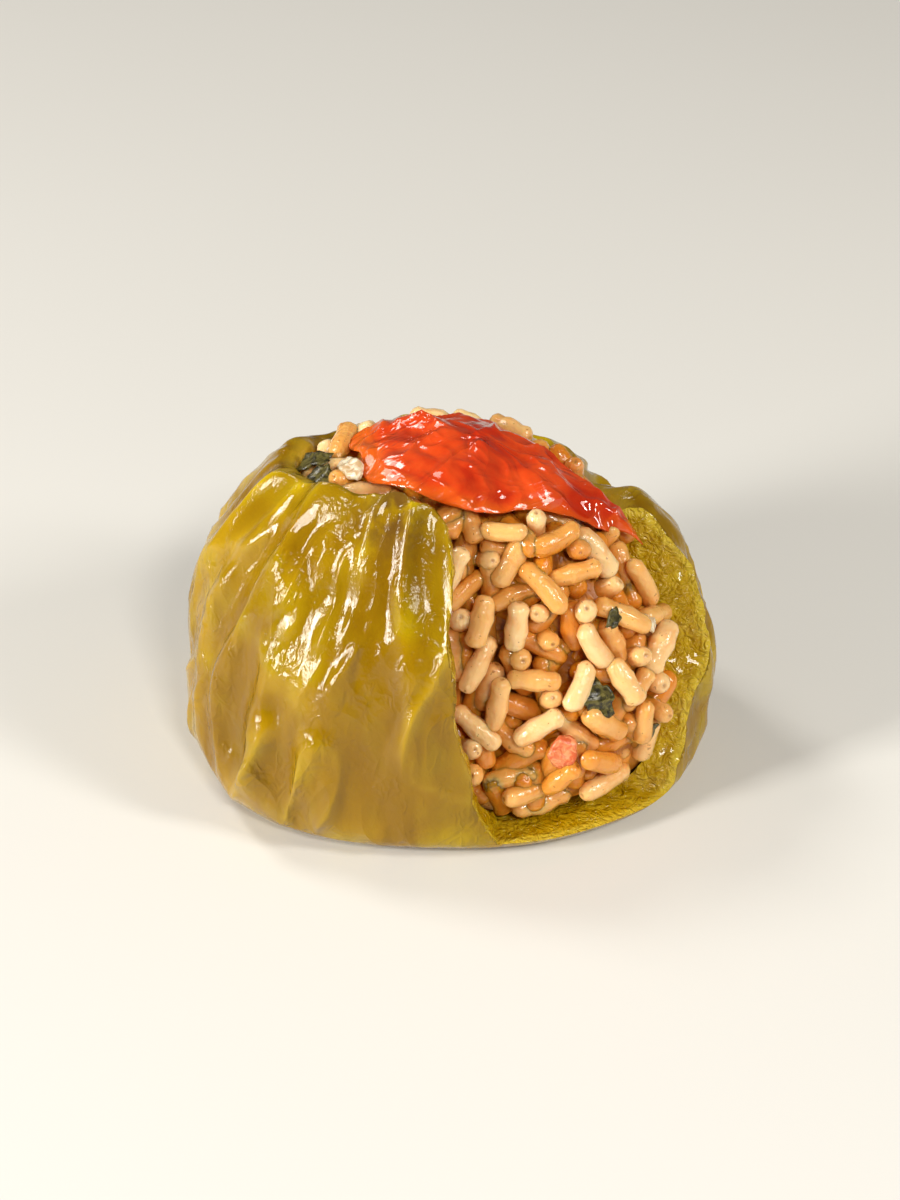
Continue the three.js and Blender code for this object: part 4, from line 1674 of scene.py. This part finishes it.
@dataclass
class RiceFilling:
    """The rice: the grains that show, the grains under them, and the moist core."""

    heap: HeapForm
    fit: Fit
    sides: int = 12
    end_dimple: float = 0.05
    end_depth: float = 0.16
    end_rings: tuple[float, ...] = (0.16, 0.36, 0.66, 0.92)
    middle: tuple[tuple[float, float], ...] = ((0.45, -0.22), (0.5, -0.08))
    lumps: float = 0.07
    bend: float = 0.55
    flattest: float = 0.1
    core_sink: float = 3.2
    core_room: float = 0.4
    core_foot: float = 0.075
    core_top: float = 1.3
    # Heights over which grains turn darker orange low between others: oiled sauce and painted shade.
    oil_and_gap_shade_level: tuple[float, float] = (-0.8, 2.7)
    stained_heights: tuple[float, float] = (12.0, 34.0)
    core_columns: int = 160
    core_rows: int = 110

    def grain_shape(self, kind: GrainKind) -> bpy.types.Object:
        """Build one grain of unit size along Z, with a dimple in each end and its places on its points.

        Args:
            kind: The shape.

        Returns:
            The grain, as an object.
        """
        section = [(0.0, -0.5 + self.end_dimple)]
        for radius in self.end_rings:
            section.append((0.5 * radius, -0.5 + self.end_depth * radius**kind.fullness))
        section += self.middle
        section += [(radius, -along) for radius, along in reversed(section)]
        angle = circle(self.sides)
        radius = np.array([point[0] for point in section])[:, None]
        along = np.array([point[1] for point in section])[:, None]
        thin = 1 - kind.taper * (along + 0.5) + self.lumps * np.sin(kind.lumps_at + 12.5 * along)
        ring = radius * thin * (1 + 0.05 * np.cos(2 * angle + kind.lumps_at))
        points = np.stack([ring * np.cos(angle), ring * np.sin(angle), along + 0 * angle], axis=-1)
        mesh = grid_mesh(kind.name, points)
        place = mesh_points(mesh)
        set_values(mesh, "along", place[:, 2] * 2)
        centre = np.hypot(place[:, 0], place[:, 1])
        ring = near(centre, 0.2, 0.05) * 0.2
        pit = 1 - smooth(centre, 0.05, 0.14)
        set_values(mesh, "dimple", np.maximum(pit, ring) * (np.abs(place[:, 2]) > 0.4))
        return link(kind.name, mesh)

    def tree(self) -> GeometryTree:
        """Build the tree that puts a grain on each point, turned, sized, bent and dressed.

        Returns:
            The tree.
        """
        tree = GeometryTree("rice_on_points", {
            "Grain shapes": ("NodeSocketCollection", None),
            "Bend": ("NodeSocketFloat", self.bend * MM),
            "Finish": ("NodeSocketMaterial", None),
        })
        shapes = tree.node("GeometryNodeCollectionInfo", {}, {
            "Collection": tree.start.outputs["Grain shapes"],
            "Separate Children": True,
            "Reset Children": True,
        })
        turned = tree.node("FunctionNodeAlignRotationToVector", {"axis": "Z"}, {
            "Vector": tree.stored("grain_axis", "FLOAT_VECTOR"),
        })
        placed = tree.node("GeometryNodeInstanceOnPoints", {}, {
            "Points": tree.start.outputs["Geometry"],
            "Instance": shapes.outputs["Instances"],
            "Pick Instance": True,
            "Instance Index": tree.stored("grain_kind", "INT"),
            "Rotation": turned.outputs["Rotation"],
            "Scale": tree.stored("grain_size", "FLOAT_VECTOR"),
        })
        joined = tree.node("GeometryNodeRealizeInstances", {}, {"Geometry": placed.outputs["Instances"]})
        along = tree.stored("along", "FLOAT")
        square = tree.node("ShaderNodeMath", {"operation": "MULTIPLY"}, {0: along, 1: along})
        pull = tree.node("ShaderNodeMath", {"operation": "MULTIPLY"}, {
            0: square.outputs[0], 1: tree.start.outputs["Bend"],
        })
        shift = tree.node("ShaderNodeVectorMath", {"operation": "SCALE"}, {
            0: tree.stored("grain_bend", "FLOAT_VECTOR"), "Scale": pull.outputs[0],
        })
        bent = tree.node("GeometryNodeSetPosition", {}, {
            "Geometry": joined.outputs["Geometry"], "Offset": shift.outputs[0],
        })
        dressed = tree.node("GeometryNodeSetMaterial", {}, {
            "Geometry": bent.outputs["Geometry"], "Material": tree.start.outputs["Finish"],
        })
        tree.close(dressed.outputs["Geometry"])
        return tree

    def points_mesh(self, layers: Layers) -> bpy.types.Mesh:
        """Store the layers of grains as points in metres, with what each grain needs to know.

        Args:
            layers: The grains of each layer, and how deep the layer lies.

        Returns:
            The mesh of points.
        """
        centre = np.vstack([grains.centre for grains, _ in layers])
        axis = np.vstack([grains.axis for grains, _ in layers])
        length = np.concatenate([grains.length for grains, _ in layers])
        width = np.concatenate([grains.width for grains, _ in layers])
        deep = np.concatenate([np.full(len(grains.length), depth) for grains, depth in layers])
        number = np.arange(len(length), dtype=float)

        def chance(seed: float) -> Array:
            """Return a repeatable number from 0 to 1 for each grain."""
            return scatter_value(number, number * 0 + (seed - 80), seed)

        mesh = bpy.data.meshes.new("rice_points")
        mesh.from_pydata(self.fit.placed(centre).tolist(), [], [])
        set_vectors(mesh, "grain_axis", axis)
        set_vectors(mesh, "grain_home", np.vstack([grains.home for grains, _ in layers]))
        set_vectors(mesh, "grain_normal", np.vstack([grains.normal for grains, _ in layers]))
        flat = chance(81.0) * self.flattest
        set_vectors(mesh, "grain_size", np.stack([width, width * (1 - flat), length], axis=-1) * MM)
        sideways = unit(np.cross(axis, unit(np.cross(axis, [0.31, 0.52, 0.79]))))
        swing = chance(82.0) * 2 - 1
        set_vectors(mesh, "grain_bend", sideways * swing[:, None])
        low = 1 - smooth(centre[:, 2], *self.stained_heights)
        tint = 0.9 * chance(83.0) ** 1.3 + 0.22 * low
        set_values(mesh, "tint", np.clip(tint, 0.0, 1.0))
        # Painted shade: the lower layer's depth darkens its grains in the finish.
        set_values(mesh, "depth", deep)
        kinds = mesh.attributes.new("grain_kind", "INT", "POINT")
        kinds.data.foreach_set("value", (chance(84.0) * len(GRAIN_KINDS)).astype(np.int32))
        return mesh

    def build_grains(self, finish: bpy.types.Material, layers: Layers) -> bpy.types.Mesh:
        """Return the joined grains as a plain mesh.

        Args:
            finish: The material of every grain.
            layers: The grains of each layer, and how deep the layer lies, from 0 to 1.

        Returns:
            The mesh, with how low each point lies between the grains stored on its points, which gives both
            the oiled gaps and painted shade there.
        """
        shelf = bpy.data.collections.new("grain_shapes")
        bpy.context.scene.collection.children.link(shelf)
        shapes = [self.grain_shape(kind) for kind in GRAIN_KINDS]
        for shape in shapes:
            shelf.objects.link(shape)
            bpy.context.scene.collection.objects.unlink(shape)
        carrier = link("rice_carrier", self.points_mesh(layers))
        self.tree().attach(carrier, {"Grain shapes": shelf, "Bend": self.bend * MM, "Finish": finish})
        mesh = settled_mesh(carrier, "rice_grains")
        away = mesh_points(mesh) / self.fit.scale + self.fit.middle - get_vectors(mesh, "grain_home")
        rise = (away * get_vectors(mesh, "grain_normal")).sum(1)
        # How low each point lies between the grains: oiled sauce and painted shade.
        set_values(mesh, "oil", 1 - smooth(rise, *self.oil_and_gap_shade_level))
        discard(carrier)
        for shape in shapes:
            discard(shape)
        bpy.data.collections.remove(shelf)
        return mesh

    def build_core(self) -> bpy.types.Mesh:
        """Build the moist body of the heap under the grains.

        Returns:
            The mesh, in metres.
        """
        pepper = self.heap.pepper
        room = self.core_room / pepper.half[0]
        knots = [(0.0, self.core_foot)]
        knots += [(radius - room, height + 0.003) for radius, height in reversed(pepper.inside[:-1])]
        knots += [(radius, self.core_top) for radius in (0.5, 0.38, 0.24, 0.1, 0.0)]
        section = spline(knots, np.linspace(0, len(knots) - 1, self.core_rows))
        section[[0, -1], 0] = 0.0
        angle = circle(self.core_columns)
        radius = np.maximum(section[:, :1], 0.0) + 0 * angle
        height = section[:, 1:] + 0 * angle
        rise = lerp(pepper.rim_height, pepper.rim_at(angle), smooth(radius, 0.0, 0.3))
        x, y = pepper.plan(radius * pepper.spread(angle, np.clip(height, 0.0, 1.0)), angle)
        z = np.minimum(height * rise, self.heap.top_at(x, y) - self.core_sink)
        front = np.where(x > pepper.left_cut - 1, self.heap.face_at(z) + self.core_sink, -pepper.half[1])
        points = np.stack([x, np.maximum(y, front), z], axis=-1)
        mesh = grid_mesh("rice_core", points)
        self.fit.apply(mesh)
        return mesh


@dataclass
class TomatoSlice:
    """The slice on top: its skin wrinkled like film, its edge thin and wavy."""

    heap: HeapForm
    fit: Fit
    rings: int = 78
    columns: int = 300
    wrinkle: float = 0.5
    film: float = 0.26
    relief_sink: float = 0.9
    under_relief: float = 0.35

    def build(self) -> bpy.types.Mesh:
        """Build the slice's mesh with its edge and the crests of its creases, for a painted highlight,
        stored on its points.

        Returns:
            The mesh, in metres.
        """
        form = self.heap.slice
        share = np.concatenate([np.linspace(0, 1, self.rings), np.linspace(1, 0, self.rings)])[:, None]
        face = np.concatenate([-np.ones(self.rings), np.ones(self.rings)])[:, None]
        angle = circle(self.columns)
        share = share + 0 * angle
        angle = angle + 0 * share
        x, y = form.plan(angle, share)
        half = lerp(form.thick, form.edge, share**2) / 2 * np.sqrt(np.clip(1.02 - share**10, 0.0, 1.0))
        relief, crease = self.wrinkles(x, y)
        on_top = (face > 0) * 1.0
        z = self.heap.slice_height(x, y, share) + form.creases(angle, share) + face * half
        z = z + (relief - self.relief_sink) * lerp(self.under_relief, 1.0, on_top)
        points = np.stack([x, y, z], axis=-1)
        mesh = grid_mesh("tomato_slice_skin", points)
        edge = smooth(share, 0.55, 1.0) + 0.25 * smooth(-x, 2.0, 16.0)
        set_values(mesh, "edge", ring_values(edge))
        # Painted highlight mask, on the top face only.
        set_values(mesh, "crease", ring_values(crease * on_top))
        self.fit.apply(mesh)
        return mesh

    def wrinkles(self, x: Array, y: Array) -> tuple[Array, Array]:
        """Return the height of the crinkled skin and 0 to 1 on its sharp creases.

        Args:
            x: X, in millimetres.
            y: Y, in millimetres.

        Returns:
            The height in millimetres, and the mark of the creases.
        """
        sway = soft_noise(x / 5.5, y / 5.5, 91.0)
        bend = soft_noise(x / 3.1, y / 3.4, 92.0)
        long_way = x * 0.82 - y * 0.57
        short_way = x * 0.57 + y * 0.82
        main = ridges(long_way / 8 + 0.4 * sway, short_way / 4.6 + 0.4 * bend, 93.0, 4096, 4.0)
        fine = ridges(long_way / 4.2 + 0.5 * bend, short_way / 2.2 + 0.4 * sway, 94.0, 4096, 4.0)
        fine = fine * smooth(sway, -0.4, 0.4)
        flat = facets(long_way / 4.6 + 0.5 * sway, short_way / 3.4 + 0.5 * bend, 95.0)
        relief = self.wrinkle * (1.6 * main + 1.3 * flat + 1.2 * sway) + self.film * fine
        return relief, np.clip(main**2 + 0.4 * fine, 0.0, 1.0)


@dataclass(frozen=True)
class Bit:
    """A flake or bit on the rice: where it lies, its size in millimetres and its turn."""

    kind: BitKind
    at: tuple[float, float, float]
    size: tuple[float, float]
    turn: float
    lift: float = 1.9
    thick: float = 0.5


BITS: tuple[Bit, ...] = (
    Bit(BitKind.HERB, (29.0, -20.0, 37.5), (4.6, 2.6), 0.5),
    Bit(BitKind.HERB, (25.5, -25.0, 24.5), (6.8, 4.8), 1.7),
    Bit(BitKind.HERB, (30.3, -20.0, 17.7), (4.0, 2.3), 0.2),
    Bit(BitKind.ONION, (33.0, -16.0, 33.0), (4.4, 2.8), 2.2, 1.9, 1.0),
    Bit(BitKind.TOMATO, (19.6, -28.0, 16.4), (5.8, 4.6), 1.2, 2.3, 1.5),
    Bit(BitKind.HERB, (-21.0, 1.0, 51.0), (7.4, 4.4), 1.4, 2.6, 0.8),
    Bit(BitKind.HERB, (-19.5, -4.0, 52.0), (6.2, 4.0), 0.3, 2.8, 0.8),
    Bit(BitKind.ONION, (-18.5, 6.0, 52.0), (4.0, 2.4), 2.4, 1.9, 1.0),
    Bit(BitKind.ONION, (-14.5, -4.5, 53.0), (6.4, 3.8), 0.2, 2.6, 1.6),
)


@dataclass
class Garnish:
    """The flakes and bits on the rice, each curled and uneven."""

    heap: HeapForm
    fit: Fit
    rings: int = 9
    columns: int = 26

    def bit_points(self, bit: Bit, number: int) -> Array:
        """Return rings of points of one bit, in millimetres.

        Args:
            bit: The bit.
            number: Its place in the list, which varies its shape.

        Returns:
            Rings by columns by three.
        """
        direction = unit(np.array([bit.at]) - self.heap.focus)
        normal = self.heap.normals(direction)[0]
        centre = self.heap.surface(direction)[0] + normal * bit.lift
        side, up = side_and_up(normal)
        long_way = side * math.cos(bit.turn) + up * math.sin(bit.turn)
        wide_way = np.cross(normal, long_way)
        share = np.concatenate([np.linspace(0, 1, self.rings), np.linspace(1, 0, self.rings)[1:]])[:, None]
        face = np.concatenate([-np.ones(self.rings), np.ones(self.rings - 1)])[:, None]
        angle = circle(self.columns)
        torn = 1.0 if bit.kind is BitKind.HERB else 0.4
        ragged = 1 + torn * (0.12 * np.sin(5 * angle + number) + 0.08 * np.sin(9 * angle + 2 * number))
        along = bit.size[0] / 2 * share * ragged * np.cos(angle)
        across = bit.size[1] / 2 * share * ragged * np.sin(angle)
        curl = 0.1 * across**2 - 0.05 * along**2 + 0.18 * np.sin(2.2 * along + number)
        out = curl + face * bit.thick / 2 * np.sqrt(np.clip(1 - share**4, 0.0, 1.0))
        return centre + along[..., None] * long_way + across[..., None] * wide_way + out[..., None] * normal

    def build(self, kind: BitKind) -> bpy.types.Mesh:
        """Return all the bits of one kind as one mesh.

        Args:
            kind: Which bits to build.

        Returns:
            The mesh, in metres.
        """
        vertices: list[list[float]] = []
        faces: list[list[int]] = []
        for number, bit in enumerate(BITS):
            if bit.kind is not kind:
                continue
            piece = grid_mesh("bit", self.bit_points(bit, number))
            start = len(vertices)
            vertices += mesh_points(piece).tolist()
            faces += [[start + index for index in polygon.vertices] for polygon in piece.polygons]
            bpy.data.meshes.remove(piece)
        mesh = plain_mesh(f"{kind.value}_bits", vertices, faces)
        self.fit.apply(mesh)
        return mesh


@dataclass(frozen=True)
class Softbox:
    """One area light: where it stands, what size it has and how strong it is."""

    name: str
    place: tuple[float, float, float]
    size: tuple[float, float]
    power: float
    colour: Colour = (1.0, 0.97, 0.9)


@dataclass
class Studio:
    """The floor, the soft lights and the camera."""

    elevation: float = math.radians(35.5)
    distance: float = 0.491
    lens: float = 90.0
    sensor: float = 36.0
    nearest: float = 0.01
    aim: tuple[float, float, float] = (0.0, 0.0, 0.0265)
    pivot: tuple[float, float, float] = (0.0, 0.0, 0.0228)
    lamp_aim: tuple[float, float, float] = (0.0, 0.0, 0.03)
    room_colour: tuple[float, float, float, float] = (1.0, 0.93, 0.8, 1.0)
    room_strength: float = 0.13
    floor_half: float = 4.0
    floor_drop: float = 0.0002
    floor_dark: Colour = (0.75, 0.74, 0.72)
    floor_light: Colour = (0.79, 0.78, 0.76)
    floor_mottle: float = 0.3
    boxes: tuple[Softbox, ...] = (
        Softbox("key_left", (-0.76, -0.44, 0.33), (0.16, 0.36), 9.1),
        Softbox("top_front", (0.2, -0.66, 0.64), (0.16, 0.11), 2.9),
        Softbox("back_left", (-0.45, 0.3, 0.66), (0.2, 0.2), 2.2),
        Softbox("fill_right", (0.6, -0.3, 0.5), (0.14, 0.24), 3.2),
    )

    def camera(self) -> None:
        """Place the camera at the photograph's angle and make it the scene's own."""
        data = bpy.data.cameras.new("camera")
        data.lens = self.lens
        data.sensor_width = self.sensor
        data.clip_start = self.nearest
        camera = link("camera", data)
        back = Vector((0.0, -math.cos(self.elevation), math.sin(self.elevation)))
        camera.location = Vector(self.pivot) + back * self.distance
        aim_at(camera, self.aim)
        bpy.context.scene.camera = camera

    def lights(self) -> None:
        """Set the softboxes round the object, and a pale world."""
        for box in self.boxes:
            data = bpy.data.lights.new(box.name, "AREA")
            data.shape = "RECTANGLE"
            data.size, data.size_y = box.size
            data.energy = box.power
            data.color = box.colour
            lamp = link(box.name, data)
            lamp.location = box.place
            aim_at(lamp, self.lamp_aim)
        world = bpy.data.worlds.new("pale_room")
        world.use_nodes = True
        background = world.node_tree.nodes["Background"]
        background.inputs["Color"].default_value = self.room_colour
        background.inputs["Strength"].default_value = self.room_strength
        bpy.context.scene.world = world

    def floor(self) -> None:
        """Lay a plain pale floor."""
        mesh = bpy.data.meshes.new("floor")
        corners = [(x * self.floor_half, y * self.floor_half, -self.floor_drop)
                   for x, y in ((-1, -1), (1, -1), (1, 1), (-1, 1))]
        mesh.from_pydata(corners, [], [(0, 1, 2, 3)])
        tree = FinishTree("pale_floor")
        mottle = tree.noise(self.floor_mottle, 2.0)
        colour = tree.mix(mottle, self.floor_dark, self.floor_light)
        mesh.materials.append(tree.finish(Base_Color=colour, Roughness=0.6 + mottle * 0.05))
        link("floor", mesh)


def show(
    name: str, mesh: bpy.types.Mesh, finish: bpy.types.Material | None = None
) -> bpy.types.Object:
    """Put a finished piece into the scene, dressed and riding on the food.

    Args:
        name: The piece's name.
        mesh: Its mesh.
        finish: Its material, unless the mesh already has one.

    Returns:
        The piece.
    """
    if finish:
        mesh.materials.clear()
        mesh.materials.append(finish)
    piece = link(name, mesh)
    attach(piece, "root")
    LOG.info("%s: %d points, %d faces", name, len(mesh.vertices), len(mesh.polygons))
    return piece


def main() -> None:
    """Build the studio and every piece in order."""
    logging.basicConfig(level=logging.INFO, format="%(name)s: %(message)s")
    studio = Studio()
    studio.camera()
    studio.lights()
    studio.floor()
    bpy.context.scene.view_settings.view_transform = "Standard"

    pepper = PepperForm()
    heap = HeapForm(pepper, SliceForm())
    fit = Fit.between(pepper, *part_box("pepper_shell"))

    wall = PepperWall(pepper).build(fit)
    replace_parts(show("pepper_wall", wall, PepperFinish().build()), "pepper_shell")

    top = RiceScatter(heap)
    under = RiceScatter(heap, spacing=3.3, sink=3.0, seed=7331, steps=24, leash=2.5)
    # The lower layer gets depth 1, which paints shade on its grains.
    layers = [(top.settle(top.lay()), 0.0), (under.settle(under.lay()), 1.0)]
    LOG.info("grains: %d on top, %d under", len(layers[0][0].length), len(layers[1][0].length))
    filling = RiceFilling(heap, fit)
    grains = filling.build_grains(RiceFinish().build(), layers)
    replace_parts(show("rice_grains", grains), "rice_filling")
    show("rice_core", filling.build_core(), SauceFinish().build())

    skin = TomatoSlice(heap, fit).build()
    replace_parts(show("tomato_top", skin, TomatoFinish().build()), "tomato_slice")

    garnish = Garnish(heap, fit)
    for kind in BitKind:
        show(f"{kind.value}_bits", garnish.build(kind), BIT_FINISHES[kind].build())


if __name__ == "__main__":
    main()
